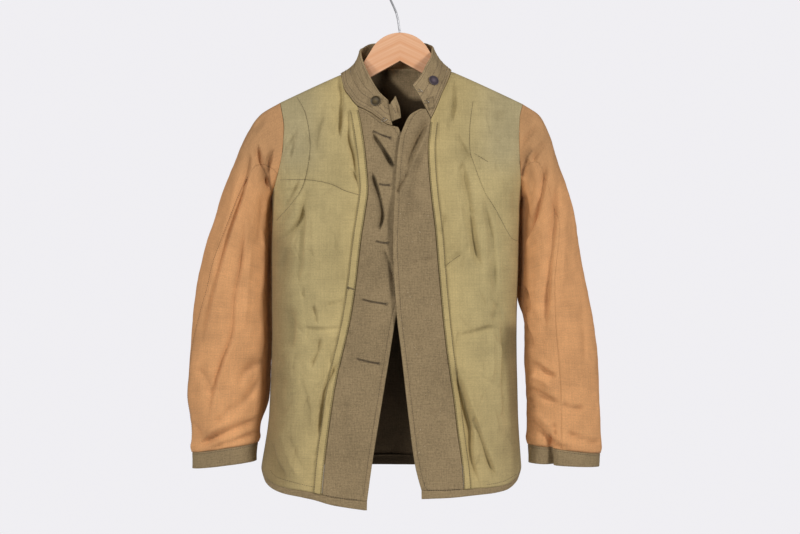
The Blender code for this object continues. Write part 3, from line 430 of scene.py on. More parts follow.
def folds(creases, across, down):
    """Metres that creases lift or sink the cloth, and how much painted shade their lines get."""
    relief, line = np.zeros(across.shape), np.zeros(across.shape)
    for width, depth, lean, *path in creases:
        reach_px = CREASE_REACH * width * MM / PIXEL
        lows, highs = np.min(path, axis=0) - reach_px, np.max(path, axis=0) + reach_px
        near = (across > lows[0]) & (across < highs[0]) & (down > lows[1]) & (down < highs[1])
        if near.any():
            signed, share = off_line(rounded(path), across[near], down[near])
            q = signed * PIXEL / (width * MM)
            if lean:
                q = q / np.where(q * lean > 0, CREASE_STEEP, CREASE_SLOW)
            strength = smooth(share / CREASE_RUNOUT) * smooth((1 - share) / CREASE_RUNOUT)
            strength = strength * (CREASE_EVEN + CREASE_VARY * np.sin(CREASE_WAVES * share + path[0][0]))
            trough = np.exp(-TROUGH_FALL * (np.hypot(q, CREASE_ROUNDING) - CREASE_ROUNDING))
            step = np.tanh(STEP_STEEP * q) * np.exp(-np.abs(q) / STEP_FADE)
            relief[near] += MM * strength * (depth * trough + lean * step)
            # painted shade along the line of a deep or leaning crease
            dark = np.clip((abs(lean) - depth) / LINE_DEPTH, 0, 1)
            line[near] += dark * strength * bell(q / LINE_WIDE)
    return relief, np.clip(line, 0, 1)


WAVES = (  # height in millimetres, size in metres, squeeze down the cloth, shift of the seed
    (1.5, 0.045, 0.45, 0),
    (1.0, 0.018, 0.5, 1),
    (0.32, 0.007, 0.7, 2),
)


def layered_noise(layers, u, v, seed):
    """Noises of several sizes added up, each drawn out down the cloth by its squeeze."""
    total = 0
    for much, size, squeeze, shift in layers:
        total = total + much * cloth_noise(u, squeeze * v, size, seed + shift)
    return total


def soft_waves(u, v, seed):
    """The slow unevenness of hanging cloth, in metres, longer down the cloth than across it."""
    return layered_noise(WAVES, u, v, seed) * MM


print("waves, mm high", [much for much, *_ in WAVES])

# %% [markdown]
# The lining's seams lie in shallow grooves, so they are creases too: the yoke's seam, the curved
# seams of the shoulder shields and a dart. Many small creases lie between the main ones. Drawing
# each by hand would be slow, so a random generator with a fixed seed scatters them.

# %% Seams and small creases
SEAMS = {  # seams of the linings, as lines of pixels
    "left": {
        "yoke": ((280, 180), (295, 179.5), (311, 180), (331, 184), (346, 191), (367, 197)),
        "shield": (
            *((297, 97), (305, 112), (309, 131), (310, 150)),
            *((307, 171), (302, 188), (293, 202), (276, 221)),
        ),
    },
    "right": {
        "shield": (
            *((473, 101), (470, 126), (470, 150), (473, 161)),
            *((484, 190), (496, 210), (510, 236), (518, 241)),
        ),
        "dart": ((474, 153.5), (482, 158), (489, 162.5)),
    },
}
SEAM_GROOVE = (1.7, -1.1, 0.5)  # half width, depth and lean of a seam in millimetres
SMALL_CREASES = {  # seed, number, box of pixels, lean in radians
    "left": (101, 60, (272, 96, 338, 470), -0.15),
    "right": (102, 60, (446, 92, 520, 470), 0.2),
    "back": (103, 70, (270, 100, 522, 455), 0.0),
}
SMALL_LONG = (10, 34)  # pixels
SMALL_TURN, SMALL_BEND = 0.5, 0.3  # spread of their directions and of their bends, in radians
SMALL_WIDE, SMALL_DEPTH, SMALL_LEAN = (1.8, 3.6), (-1.3, -0.3), 0.5  # millimetres


def small_creases(seed, count, box, lean_over):
    """Fine creases, scattered evenly over a box of pixels and leaning a given way."""
    dice = np.random.default_rng(seed)
    made = []
    for _ in range(count):
        start = dice.uniform(box[:2], box[2:])
        way = dice.normal(lean_over, SMALL_TURN)
        long = dice.uniform(*SMALL_LONG)
        middle = start + long / 2 * np.array([math.sin(way), math.cos(way)])
        way += dice.normal(0, SMALL_BEND)
        end = middle + long / 2 * np.array([math.sin(way), math.cos(way)])
        shape = (dice.uniform(*SMALL_WIDE), dice.uniform(*SMALL_DEPTH), dice.normal(0, SMALL_LEAN))
        made.append((*shape, start, middle, end))
    return made


for face, lines in SEAMS.items():
    CREASES[face] += [(*SEAM_GROOVE, *line) for line in lines.values()]
for face, recipe in SMALL_CREASES.items():
    CREASES[face] += small_creases(*recipe)
print("all creases", {face: len(rows) for face, rows in CREASES.items()})

# %% [markdown]
# The body's surface is a function: for a face of the jacket and a place (x, z) on it, it says how
# far the cloth stands off the seam plane. Creases die out at the shoulder and side seams, so the
# panels stay sewn together. All pieces of a front share one function, and so one set of creases.

# %% The body's surface
SLOPE_STEP = 0.00004  # metres to either side of a place whose slope is wanted
WAVE_SEEDS = {"left": 11, "right": 23, "back": 37}
FOLD_GAIN = 1.45  # all creases are deepened by this much
CHEST_X, CHEST_Z = np.array([0.10]), np.array([-0.45])


def read(rows, column, at, by="z"):
    """Reads a column smoothly between the rows of a table, without overshoot."""
    order = np.argsort(rows[by])
    knots, values = rows[by][order], rows[column][order]
    step = np.diff(knots)
    slope = np.diff(values) / step
    bend = np.zeros_like(knots)
    bend[0], bend[-1] = slope[0], slope[-1]
    for i in range(1, len(knots) - 1):
        before, after = slope[i - 1], slope[i]
        if before * after > 0:
            near, far = 2 * step[i] + step[i - 1], step[i] + 2 * step[i - 1]
            bend[i] = (near + far) / (near / before + far / after)
    at = np.clip(at, knots[0], knots[-1])
    i = np.clip(np.searchsorted(knots, at) - 1, 0, len(step) - 1)
    t = (at - knots[i]) / step[i]
    start = (1 + 2 * t) * (1 - t) ** 2 * values[i] + t * (1 - t) ** 2 * step[i] * bend[i]
    end = t**2 * (3 - 2 * t) * values[i + 1] + t**2 * (t - 1) * step[i] * bend[i + 1]
    return start + end


def ridge_z(x):
    return SHOULDER_APEX_Z - SHOULDER_SLOPE * np.hypot(x, NECK_ROUNDING)


def ridge_x(z):
    return np.sqrt(((SHOULDER_APEX_Z - z) / SHOULDER_SLOPE) ** 2 - NECK_ROUNDING**2)


def side_share(x, z):
    """0 on the body's middle line and 1 at its side."""
    left, right = read(SIDES, "left", z), read(SIDES, "right", z)
    return np.abs(x - (left + right) / 2) / ((right - left) / 2)


def holds(x, z):
    """How far a place is free of the shoulder seam, and of the side seam, from 0 to 1."""
    share = side_share(x, z)
    free = 1 - np.exp(-np.maximum(ridge_z(x) - z, 0) / RIDGE_HOLD)
    return free, np.sign(1 - share) * np.abs(1 - share**FLANK_POWER) ** FLANK_ROUNDING


def reach(face, x, z):
    """How far the smooth cloth stands off the seam plane."""
    below = ridge_z(x) - z
    column = "back" if face == "back" else "front"
    hang = np.sign(below) * read(DRAPE, column, np.sqrt(np.abs(below)), by="root")
    free, flank = holds(x, z)
    swell = NECK_SWELL * bell(np.hypot(x / NECK_SWELL_X, (z - NECK_SWELL_Z) / NECK_SWELL_TALL))
    lap = 0.0
    if face == "right":
        lap = LAP_OUT * smooth((LAP_START - x) / (LAP_START - LAP_FULL))
    if face == "left":
        lap = LAP_IN * smooth((x + LAP_START) / (LAP_START - LAP_FULL))
    return (hang + free * (swell + lap)) * flank


def place(face, x, z, out=0.0):
    """Points of a body panel, moved out along the smooth cloth's normal."""
    x, z = np.broadcast_arrays(np.asarray(x, float), np.asarray(z, float))
    facing = 1.0 if face == "back" else -1.0
    slope_x = (reach(face, x + SLOPE_STEP, z) - reach(face, x - SLOPE_STEP, z)) / (2 * SLOPE_STEP)
    slope_z = (reach(face, x, z + SLOPE_STEP) - reach(face, x, z - SLOPE_STEP)) / (2 * SLOPE_STEP)
    normal = np.stack([-slope_x, np.full_like(x, facing), -slope_z], -1)
    normal /= np.linalg.norm(normal, axis=-1, keepdims=True)
    y = facing * (SEAM_GAP / 2 + np.maximum(reach(face, x, z), 0))
    return np.stack([x, y, z], -1) + np.asarray(out)[..., None] * normal


def folds_at(face, x, z):
    """Creases and waves of the body in metres, and the painted shade along the creases' lines."""
    relief, line = folds(CREASES[face], *photo_pixel(place(face, x, z)))
    free, flank = holds(x, z)
    hold = free * np.clip(flank, 0, 1)
    return (FOLD_GAIN * relief + soft_waves(x, z, WAVE_SEEDS[face])) * hold, line * hold


print("chest stands off", round(float(reach("right", CHEST_X, CHEST_Z)[0]), 4))

# %% [markdown]
# Rows of a panel run level at the armpit and bend down towards the sagging hem, so a few helpers
# turn a nominal height into the real one and find the edges there.

# %% Edges and rows of the panels
def outer_edge(side, z):
    """Side seam, then armhole, then shoulder seam."""
    if z <= ARMPIT_Z:
        return float(read(SIDES, side, z))
    if z <= ARMHOLES[side]["z"][0]:
        return float(read(ARMHOLES[side], "x", z))
    return MIRROR[side] * float(ridge_x(z))


def sink(z):
    """Share of the hem's sag that a nominal height takes."""
    return np.clip((HEM_START_Z - z) / (HEM_START_Z - HEM_Z), 0, 1) ** 2


def hem_height(face, x, z):
    """The hem's sag, and the height of its turned band."""
    share = side_share(x, z + sink(z) * HEM_TALL_SIDE)
    sag = np.zeros_like(x) if face == "back" else read(SAG, face, share, by="share")
    return sag, HEM_TALL_SIDE + (HEM_TALL_FRONT - HEM_TALL_SIDE) * np.clip(1 - share, 0, 1)


def settle(face, x, z):
    """Lowers nominal heights towards the sagging hem, down to the top of its band."""
    sag, tall = hem_height(face, x, z)
    return z - sink(z) * (sag - tall)


def panel_edge(side, z):
    return outer_edge(side, z + sink(z) * HEM_TALL_SIDE)


def edge_at(rows, face, z):
    """An edge table's place at a nominal height, read where the sagging cloth is."""
    guess = np.atleast_1d(read(rows, "x", z))
    return float(read(rows, "x", settle(face, guess, np.full_like(guess, z)))[0])


def heights(*stops):
    """Row heights through (height, rows up to the next stop) pairs."""
    rows = [stops[0][0]]
    for (low, count), (high, _) in zip(stops, stops[1:]):
        rows += list(np.linspace(low, high, count + 1)[1:])
    return rows


print("left side at the hem", round(panel_edge("left", HEM_Z), 4))

# %% [markdown]
# A material is a graph of nodes. It could be wired by hand in the shader editor. Here a small class
# adds the nodes and links them, so that each finish below reads as a short recipe.

# %% Material tools
COLOUR_LAYER = "cloth_colour"
CUT_MAP = "cut"
YARN_NOISE = (1.0, 3.0, 0.6)  # scale for each metre, detail and roughness, as for every noise below


def linear(red, green, blue):
    """A colour judged from 0 to 255, as the linear values that shaders use."""
    value = np.array([red, green, blue]) / 255
    return np.where(value <= 0.04045, value / 12.92, ((value + 0.055) / 1.055) ** 2.4)


class Finish:
    """A material under construction: adds nodes and links them."""

    def __init__(self, name, settings):
        self.material = bpy.data.materials.new(name)
        self.material.use_nodes = True
        self.tree = self.material.node_tree
        self.surface(settings)

    def surface(self, settings):
        """Sets or links inputs of the surface shader."""
        for socket, source in settings.items():
            self.feed(self.tree.nodes["Principled BSDF"].inputs[socket], source)

    def node(self, kind, links=None, **settings):
        made = self.tree.nodes.new("ShaderNode" + kind)
        for key, value in settings.items():
            setattr(made, key, value)
        for socket, source in (links or {}).items():
            self.feed(made.inputs[socket], source)
        return made

    def feed(self, socket, source):
        if isinstance(source, bpy.types.NodeSocket):
            self.tree.links.new(source, socket)
        else:
            socket.default_value = source

    def on_cloth(self):
        """A sheet's own colour, and the place on its flat cut in metres."""
        colour = self.node("Attribute", attribute_name=COLOUR_LAYER).outputs["Color"]
        return colour, self.node("UVMap", uv_map=CUT_MAP).outputs["UV"]

    def in_object(self):
        """The place in the object, in metres."""
        return self.node("TexCoord").outputs["Object"]

    def sum(self, operation, first, second=0.0):
        return self.node("Math", {0: first, 1: second}, operation=operation).outputs[0]

    def times(self, vector, factor):
        """A colour or a place multiplied by a number or by three of them."""
        return self.node("VectorMath", {0: vector, 1: factor}, operation="MULTIPLY").outputs[0]

    def spread(self, value, low, high):
        """Turns a 0 to 1 value into a range."""
        return self.node("MapRange", {"Value": value, "To Min": low, "To Max": high}).outputs["Result"]

    def vary(self, value, contrast, middle=0.0):
        """Turns a 0 to 1 value into one that lies round a middle."""
        return self.spread(value, middle - contrast, middle + contrast)

    def noise(self, where, scale, detail, rough):
        links = {"Vector": where, "Scale": scale, "Detail": detail, "Roughness": rough}
        return self.node("TexNoise", links).outputs["Fac"]

    def yarns(self, where, shade, stretch, contrast):
        """Adds light and dark yarns, drawn out in both directions, to a brightness."""
        along, across = stretch
        for way in ((along, across, 1.0), (across, along, 1.0)):
            streaks = self.noise(self.times(where, way), *YARN_NOISE)
            shade = self.sum("ADD", shade, self.vary(streaks, contrast))
        return shade

    def bump(self, height, strength, distance, onto=None):
        links = {"Height": height, "Strength": strength, "Distance": distance}
        if onto is not None:
            links["Normal"] = onto
        return self.node("Bump", links).outputs["Normal"]


print("material tools ready")

# %% [markdown]
# Cotton and wool need different finishes. Cotton is a plain weave: two waves at right angles on
# the sheet's own UV map, which is in metres, with faint blotches of wear. Wool is felted, so it
# gets a mottled noise of light and dark fibres, a rough bump and a sheen for the nap. Both take
# their main colour from an attribute on the sheet, which holds the fading and the shaded folds.

# %% Cotton and wool
YARN = 0.0009  # metres between yarns of the cotton
SLUB, WEAR, RUMPLE = (420.0, 3.0, 0.5), (26.0, 4.0, 0.6), (75.0, 3.0, 0.55)
SLUB_CONTRAST, WEAR_CONTRAST, WEAVE_CONTRAST, COTTON_YARN_CONTRAST = 0.22, 0.20, 0.02, 0.15
COTTON_YARNS = (20.0, 500.0)  # how fast a yarn's colour changes along it and across it
WEAVE_HEIGHT = 0.5  # of the weave, where the slubs have 1
WEAVE_BUMP, RUMPLE_BUMP = (0.22, 0.0003), (0.28, 0.0022)  # strength, and height in metres
COTTON_SURFACE = {"Roughness": 0.86, "Specular IOR Level": 0.22, "Sheen Weight": 0.06}
FIBRE, FLECK, NAP_WEAR = (900.0, 4.0, 0.7), (340.0, 3.0, 0.65), (32.0, 4.0, 0.6)
FIBRE_CONTRAST, FLECK_CONTRAST, NAP_WEAR_CONTRAST, WOOL_YARN_CONTRAST = 0.45, 0.45, 0.10, 0.32
WOOL_YARNS = (55.0, 620.0)
NAP_BUMP = (0.55, 0.0007)
WOOL_SURFACE = {
    "Roughness": 0.95,
    "Specular IOR Level": 0.15,
    "Sheen Weight": 0.22,
    "Sheen Roughness": 0.55,
    "Sheen Tint": (*linear(190, 170, 130), 1),
}


def cotton(name):
    """A plain weave of uneven yarns, with worn patches and a fine rumple."""
    finish = Finish(name, COTTON_SURFACE)
    colour, place_on = finish.on_cloth()
    parts = finish.node("SeparateXYZ", {0: place_on})
    turns = [finish.sum("MULTIPLY", parts.outputs[axis], 2 * math.pi / YARN) for axis in "XY"]
    warp, weft = [finish.sum("SINE", turn) for turn in turns]
    weave = finish.sum("MULTIPLY", warp, weft)
    slub = finish.noise(place_on, *SLUB)
    wear = finish.vary(finish.noise(place_on, *WEAR), WEAR_CONTRAST)
    shade = finish.sum("ADD", finish.vary(slub, SLUB_CONTRAST, 1.0), wear)
    shade = finish.sum("ADD", shade, finish.sum("MULTIPLY", weave, WEAVE_CONTRAST))
    shade = finish.yarns(place_on, shade, COTTON_YARNS, COTTON_YARN_CONTRAST)
    height = finish.sum("ADD", finish.sum("MULTIPLY", weave, WEAVE_HEIGHT), slub)
    fine = finish.bump(height, *WEAVE_BUMP)
    rumpled = finish.bump(finish.noise(place_on, *RUMPLE), *RUMPLE_BUMP, fine)
    finish.surface({"Base Color": finish.times(colour, shade), "Normal": rumpled})
    return finish.material


def wool(name):
    """Felted wool: light and dark fibres over a coarse weave, with a soft nap."""
    finish = Finish(name, WOOL_SURFACE)
    colour, place_on = finish.on_cloth()
    fibre, fleck = finish.noise(place_on, *FIBRE), finish.noise(place_on, *FLECK)
    wear = finish.vary(finish.noise(place_on, *NAP_WEAR), NAP_WEAR_CONTRAST)
    shade = finish.sum("ADD", finish.vary(fibre, FIBRE_CONTRAST, 1.0), finish.vary(fleck, FLECK_CONTRAST))
    shade = finish.yarns(place_on, finish.sum("ADD", shade, wear), WOOL_YARNS, WOOL_YARN_CONTRAST)
    nap = finish.bump(finish.sum("ADD", fibre, fleck), *NAP_BUMP)
    finish.surface({"Base Color": finish.times(colour, shade), "Normal": nap})
    return finish.material


OLIVE_COTTON = cotton("olive_cotton_lining")
TAN_COTTON = cotton("tan_cotton_lining")
BROWN_WOOL = wool("brown_wool")
print("cloth materials", OLIVE_COTTON.name, TAN_COTTON.name, BROWN_WOOL.name)

# %% [markdown]
# A sheet of cloth is two grids of points, its face and its back, joined round the rim. The mesh
# keeps a UV map of the flat cut in metres and a colour for each point. The face and the back get
# their own material, because a jacket's lining and its wool are sewn back to back.

# %% Sheets
def sheet_mesh(name, face, back, cut, colours, materials, wraps=False, crisp=False):
    """A closed thin sheet between two grids, with its cut as UV and a colour at each point."""
    rows, columns = face.shape[:2]
    count = rows * columns
    index = np.arange(count).reshape(rows, columns)
    if wraps:
        index = np.concatenate([index, index[:, :1]], 1)
    quads = np.stack([index[:-1, :-1], index[:-1, 1:], index[1:, 1:], index[1:, :-1]], -1).reshape(-1, 4)
    rims = [index[0][::-1], index[-1]]
    if not wraps:
        rims += [index[:, 0], index[:, -1][::-1]]
    strips = [np.stack([r[:-1], r[:-1] + count, r[1:] + count, r[1:]], -1) for r in rims]
    polygons = np.concatenate([quads, quads[:, ::-1] + count] + [s[:, ::-1] for s in strips])
    points = np.concatenate([face.reshape(-1, 3), back.reshape(-1, 3)])
    mesh = bpy.data.meshes.new(name)
    mesh.from_pydata(points.tolist(), [], polygons.tolist())
    piece = bpy.data.objects.new(name, mesh)
    bpy.context.scene.collection.objects.link(piece)
    uv = np.tile(cut.reshape(-1, 2), (2, 1))
    corners = np.zeros(len(mesh.loops), int)
    mesh.loops.foreach_get("vertex_index", corners)
    mesh.uv_layers.new(name=CUT_MAP).data.foreach_set("uv", uv[corners].ravel().astype(np.float32))
    layer = mesh.color_attributes.new(COLOUR_LAYER, "FLOAT_COLOR", "POINT")
    both = np.concatenate([np.reshape(c, (-1, 3)) for c in colours])
    layer.data.foreach_set("color", np.column_stack([both, np.ones(len(both))]).ravel().astype(np.float32))
    for each in materials:
        mesh.materials.append(each)
    which = np.zeros(len(polygons), int)
    which[len(quads) :] = len(materials) - 1
    mesh.polygons.foreach_set("material_index", which)
    is_rim = np.arange(len(polygons)) >= 2 * len(quads)
    mesh.polygons.foreach_set("use_smooth", ~(is_rim & crisp))
    first = Vector(np.cross(face[0, 1] - face[0, 0], face[1, 0] - face[0, 0]))
    if first.dot(Vector(face[0, 0] - back[0, 0])) < 0:
        mesh.flip_normals()
    mesh.update()
    return piece


print("sheets carry", CUT_MAP, "and", COLOUR_LAYER)

# %% [markdown]
# The lining's colour changes by place: it is yellower by the facings, greyer on the shoulder shields
# and browner low down, and painted shade makes it darker towards the sides. The colours of a piece
# are mixed from five such tones by place. Troughs and crease lines get painted shade, ridges a faint
# painted highlight, and slow blotches of wear lie over all.

# %% Colours of the cloth
LINING_TONES = {
    "olive": linear(185, 167, 119),
    "yellow": linear(196, 173, 117),
    "grey": linear(174, 160, 121),
    "brown": linear(164, 141, 102),
    "shade": linear(143, 122, 85),
}
WOOL_TONE = linear(149, 129, 97)
# a darker copy of the wool for its inner sides: painted shade
WOOL_INSIDE_PAINTED_SHADE = linear(90, 75, 56)
TROUGH_DEEP = 0.006  # relief at which a trough's painted shade is full
TROUGH_PAINTED_SHADE, RIDGE_PAINTED_LIGHT = 0.04, -0.25  # painted shade in troughs, and how much of it turns to painted highlight on ridges
# painted shade along crease lines
LINE_PAINTED_SHADE = 0.13
BLOTCHES = ((0.08, 0.035, 0.6, 0), (0.045, 0.012, 0.7, 5))  # columns as in WAVES, but shares of brightness
SHIELD_LOW_PIXEL, SHIELD_FADE = 190, 40  # the shoulder shields end about this row of the photograph
SHIELD_X, SHIELD_X_FADE = 0.10, 0.06  # and begin this far from the middle, in metres
BROWN_FROM_PIXEL, BROWN_FADE, BROWN_SHARE = 300, 140, 0.25
SHADE_X, SHADE_X_FADE, SHADE_FADE = 0.15, 0.05, 60  # painted shade darkens the sides from here out
SHADE_SHARES = {"left": 0.9, "right": 0.5, "back": 0.5}
SIDE_FOLD_PIXEL = (499, 316)  # the right lining turns away from the light beyond this corner
SIDE_FOLD_LEAN, SIDE_FOLD_END = 0.05, 500
SIDE_FOLD_WIDE, SIDE_FOLD_START, SIDE_FOLD_FADE = 7, 16, 90  # pixels over which that shade comes and goes
SIDE_FOLD_TONE, SIDE_FOLD_SHARE = linear(122, 105, 72), 0.85
YELLOW_SHARE, YELLOW_WIDE = 0.7, 0.045  # the yellow by the facings, and how far it reaches


def blend(under, over, share):
    return under + (over - under) * np.clip(share, 0, 1)[..., None]


def painted_shade_and_wear(tone, relief, line, u, v, seed):
    """Paints shade into troughs and crease lines and a faint highlight onto ridges, and adds slow blotches
    of wear.
    """
    colour = np.broadcast_to(tone, relief.shape + (3,))
    deep = np.clip(-relief / TROUGH_DEEP, RIDGE_PAINTED_LIGHT, 1.0)
    blotch = layered_noise(BLOTCHES, u, v, seed)
    return colour * (1 - TROUGH_PAINTED_SHADE * deep - LINE_PAINTED_SHADE * line + blotch)[..., None]


def side_fold(across, down):
    """How far a place of the right lining lies in the shade beyond its side fold."""
    below = down - SIDE_FOLD_PIXEL[1]
    beyond = smooth((across - SIDE_FOLD_PIXEL[0] - SIDE_FOLD_LEAN * below) / SIDE_FOLD_WIDE)
    return beyond * smooth(below / SIDE_FOLD_START) * smooth((SIDE_FOLD_END - down) / SIDE_FOLD_FADE)


def lining_tone(face, x, z, facing_x):
    """Colour of the lining at places on a face, given where its facing begins."""
    across, down = photo_pixel(np.stack([x, 0 * x, z], -1))
    wide = np.abs(x)
    shield = smooth((SHIELD_LOW_PIXEL - down) / SHIELD_FADE) * smooth((wide - SHIELD_X) / SHIELD_X_FADE)
    colour = blend(plain(LINING_TONES["olive"], x), LINING_TONES["grey"], shield)
    low = smooth((down - BROWN_FROM_PIXEL) / BROWN_FADE)
    colour = blend(colour, LINING_TONES["brown"], BROWN_SHARE * low)
    # painted shade towards the sides
    outer = smooth((wide - SHADE_X) / SHADE_X_FADE) * smooth((down - SHIELD_LOW_PIXEL) / SHADE_FADE)
    colour = blend(colour, LINING_TONES["shade"], SHADE_SHARES[face] * outer)
    if face == "right":
        colour = blend(colour, SIDE_FOLD_TONE, SIDE_FOLD_SHARE * side_fold(across, down))
    by_facing = np.exp(-np.abs(x - facing_x) / YELLOW_WIDE)
    return blend(colour, LINING_TONES["yellow"], YELLOW_SHARE * by_facing)


def plain(tone, x):
    return np.broadcast_to(tone, x.shape + (3,))


print("tones", {key: [round(float(v), 3) for v in tone] for key, tone in LINING_TONES.items()})

# %% [markdown]
# Each front's lining is a grid between its two edges at every height. Its folded edge is stitched
# down as a raised band beside the facing's seam. The band uses the lining's own inner columns,
# moved out, so it follows each crease.

# %% Front linings and bands
NECK_LOW_Z = -0.245  # a row of the lining passes this height
TOP_INSET = 0.0014  # the lining stops short of the collar's seam
BODY_ROWS, ARMHOLE_ROWS, NECK_ROWS, SHOULDER_ROWS = 170, 50, 20, 24
LINING_COLUMNS, BAND_COLUMNS = 120, 9
BAND_END = 0.06  # share of its width before the crown rises
BAND_FLAT, BAND_CROWN = 0.7, 0.5  # height of its rims and rise of its crown, in walls
BAND_PUCKER, PUCKER_TALL = 0.0074, 0.00022  # metres between puckers of the band, and their height
PUCKER_STRAY, PUCKER_NOISE, PUCKER_SEED = 9, 0.02, 5  # how far they stray, in radians, and its noise
BAND_RIM, BAND_BRIGHT, BAND_RIM_PAINTED_SHADE = 0.6, 0.98, 0.9  # where the band's rim begins, the band's brightness, and painted shade at its rims
WEAR_SHIFT = 3  # from the seed of a face's waves to that of its wear
cloth, faces = {}, {}


def body_piece(name, face, x, z, out, thick, tones, materials):
    """A sheet on the body, from a grid of places, its height above the surface and its two tones."""
    relief, line = folds_at(face, x, z)
    outer, inner = place(face, x, z, out + relief), place(face, x, z, out + relief - thick)
    colours = [painted_shade_and_wear(tone, relief, line, x, z, WAVE_SEEDS[face] + WEAR_SHIFT) for tone in tones]
    cloth[name] = sheet_mesh(name, outer, inner, np.stack([x, z], -1), colours, materials)
    faces[name] = outer


def lining_grid(side):
    """Nominal heights, and for each the facing seam, the outer edge and the band's share."""
    tip_z, neck_z = ARMHOLES[side]["z"][0], NECKLINES[side]["z"][0]
    low = ((HEM_Z, BODY_ROWS), (ARMPIT_Z, ARMHOLE_ROWS), (NECK_LOW_Z, NECK_ROWS))
    nominal = np.array(heights(*low, (tip_z, SHOULDER_ROWS), (neck_z - TOP_INSET, 0)))
    inner, outer = [], []
    for z in nominal:
        rows = LINING_EDGES[side] if z < LINING_EDGES[side]["z"][0] else NECKLINES[side]
        inner.append(edge_at(rows, side, z) + MIRROR[side] * SEAM_GAP / 2)
        outer.append(panel_edge(side, z))
    inner, outer = np.array(inner), np.array(outer)
    return nominal, inner, outer, np.minimum(BAND_WIDTH[side] / np.abs(outer - inner), NARROW_SHARE)


def edge_band(side, x, z, tone):
    """The lining's folded edge, on the inner columns of the lining's own grid."""
    across = np.linspace(0, 1, BAND_COLUMNS)
    crown = np.sqrt(np.sin(math.pi * np.clip(across, BAND_END, 1 - BAND_END)))
    stray = PUCKER_STRAY * cloth_noise(x, z, PUCKER_NOISE, PUCKER_SEED)
    pucker = PUCKER_TALL * np.sin(2 * math.pi * z / BAND_PUCKER + stray)
    out = LAYER_GAP + WALLS["band"] * (BAND_FLAT + BAND_CROWN * crown) + pucker * (1 - crown)
    rim = np.clip(np.abs(2 * across - 1) - BAND_RIM, 0, 1)[:, None]
    # painted shade along the band's two rims
    tone = (BAND_BRIGHT - BAND_RIM_PAINTED_SHADE * rim) * tone
    body_piece("edge_band_cloth_" + side, side, x, z, out, out - LAYER_GAP, (tone, tone), (OLIVE_COTTON,))


def front_lining(side):
    nominal, inner, outer, band = lining_grid(side)
    even = np.linspace(0, 1, LINING_COLUMNS)
    spread = (even + np.sin(even * math.pi / 2)) / 2
    on_band = np.linspace(0, 1, BAND_COLUMNS)[:-1]
    columns = np.array([np.concatenate([b * on_band, b + (1 - b) * spread]) for b in band])
    x = inner[:, None] + (outer - inner)[:, None] * columns
    z = settle(side, x, np.repeat(nominal[:, None], x.shape[1], 1))
    tone = lining_tone(side, x, z, inner[:, None])
    materials = (OLIVE_COTTON, BROWN_WOOL)
    body_piece("lining_" + side, side, x, z, 0.0, WALLS["front"], (tone, WOOL_INSIDE_PAINTED_SHADE), materials)
    rows = nominal < BAND_TOP[side]
    edge_band(side, *[grid[rows][:, :BAND_COLUMNS] for grid in (x, z, tone)])
    return x[0]


print("lining rows", {side: len(lining_grid(side)[0]) for side in MIRROR})

# %% [markdown]
# The wool facings are sewn to the linings edge to edge. The fly behind the left one buckles its
# cloth, and the shade in the openings there is painted along lines.

# %% Facings
FACING_NECK_Z, FACING_COLUMNS = -0.251, 48
EDGE_STITCH = 0.007  # topstitching's distance from a front edge
STITCH_SINK, STITCH_SINK_WIDE = 0.0006, 0.0016  # the wool sinks in under the stitches
EDGE_ROLL, EDGE_ROLL_IN = 0.0032, 0.0010  # its edge rolls in over this width by this much
EDGE_PALE, EDGE_PALE_WIDE = 0.16, 0.0035  # how much paler it is along the front edge, and over what width
FLY_GAPS = [  # half width in millimetres at both ends, then the line
    (0.5, 2.6, (373, 133.5), (381, 144.5), (390, 159), (394, 168)),
    (1.2, 0.7, (372, 171), (378, 188.5), (382.6, 209), (383.3, 219), (379, 232)),
    (0.3, 1.0, (383, 247), (391.4, 268), (394.3, 288), (395, 300)),
]
# painted shade inside an opening
FLY_PAINTED_SHADE = 0.80
FLY_CRISP, FLY_SOFT = 0.7, 2.0  # pixels over which an opening's two sides fade
FLY_SHADE, FLY_SHADE_WIDE, FLY_SHADE_EDGE = 0.32, 5.0, 3.0  # shade beside an opening, and its width and edge
FLY_START, FLY_END = 0.12, 0.10  # shares of an opening's length over which it comes and goes


def gap_shade(gaps, across, down, crisp=FLY_CRISP):
    """How much painted shade lies in and beside the openings under buckled cloth."""
    dark = np.zeros(across.shape)
    for first, last, *path in gaps:
        signed, share = off_line(rounded(path), across, down)
        half = (first + (last - first) * share) * MM / PIXEL
        fade = np.where(signed > 0, crisp, FLY_SOFT)
        inside = FLY_PAINTED_SHADE * smooth((half - np.abs(signed)) / fade + 0.5)
        beside = FLY_SHADE * bell(signed / FLY_SHADE_WIDE) * smooth(0.5 - signed / FLY_SHADE_EDGE)
        run_out = smooth(share / FLY_START) * smooth((1 - share) / FLY_END)
        dark = np.maximum(dark, np.maximum(inside, beside) * run_out)
    return dark


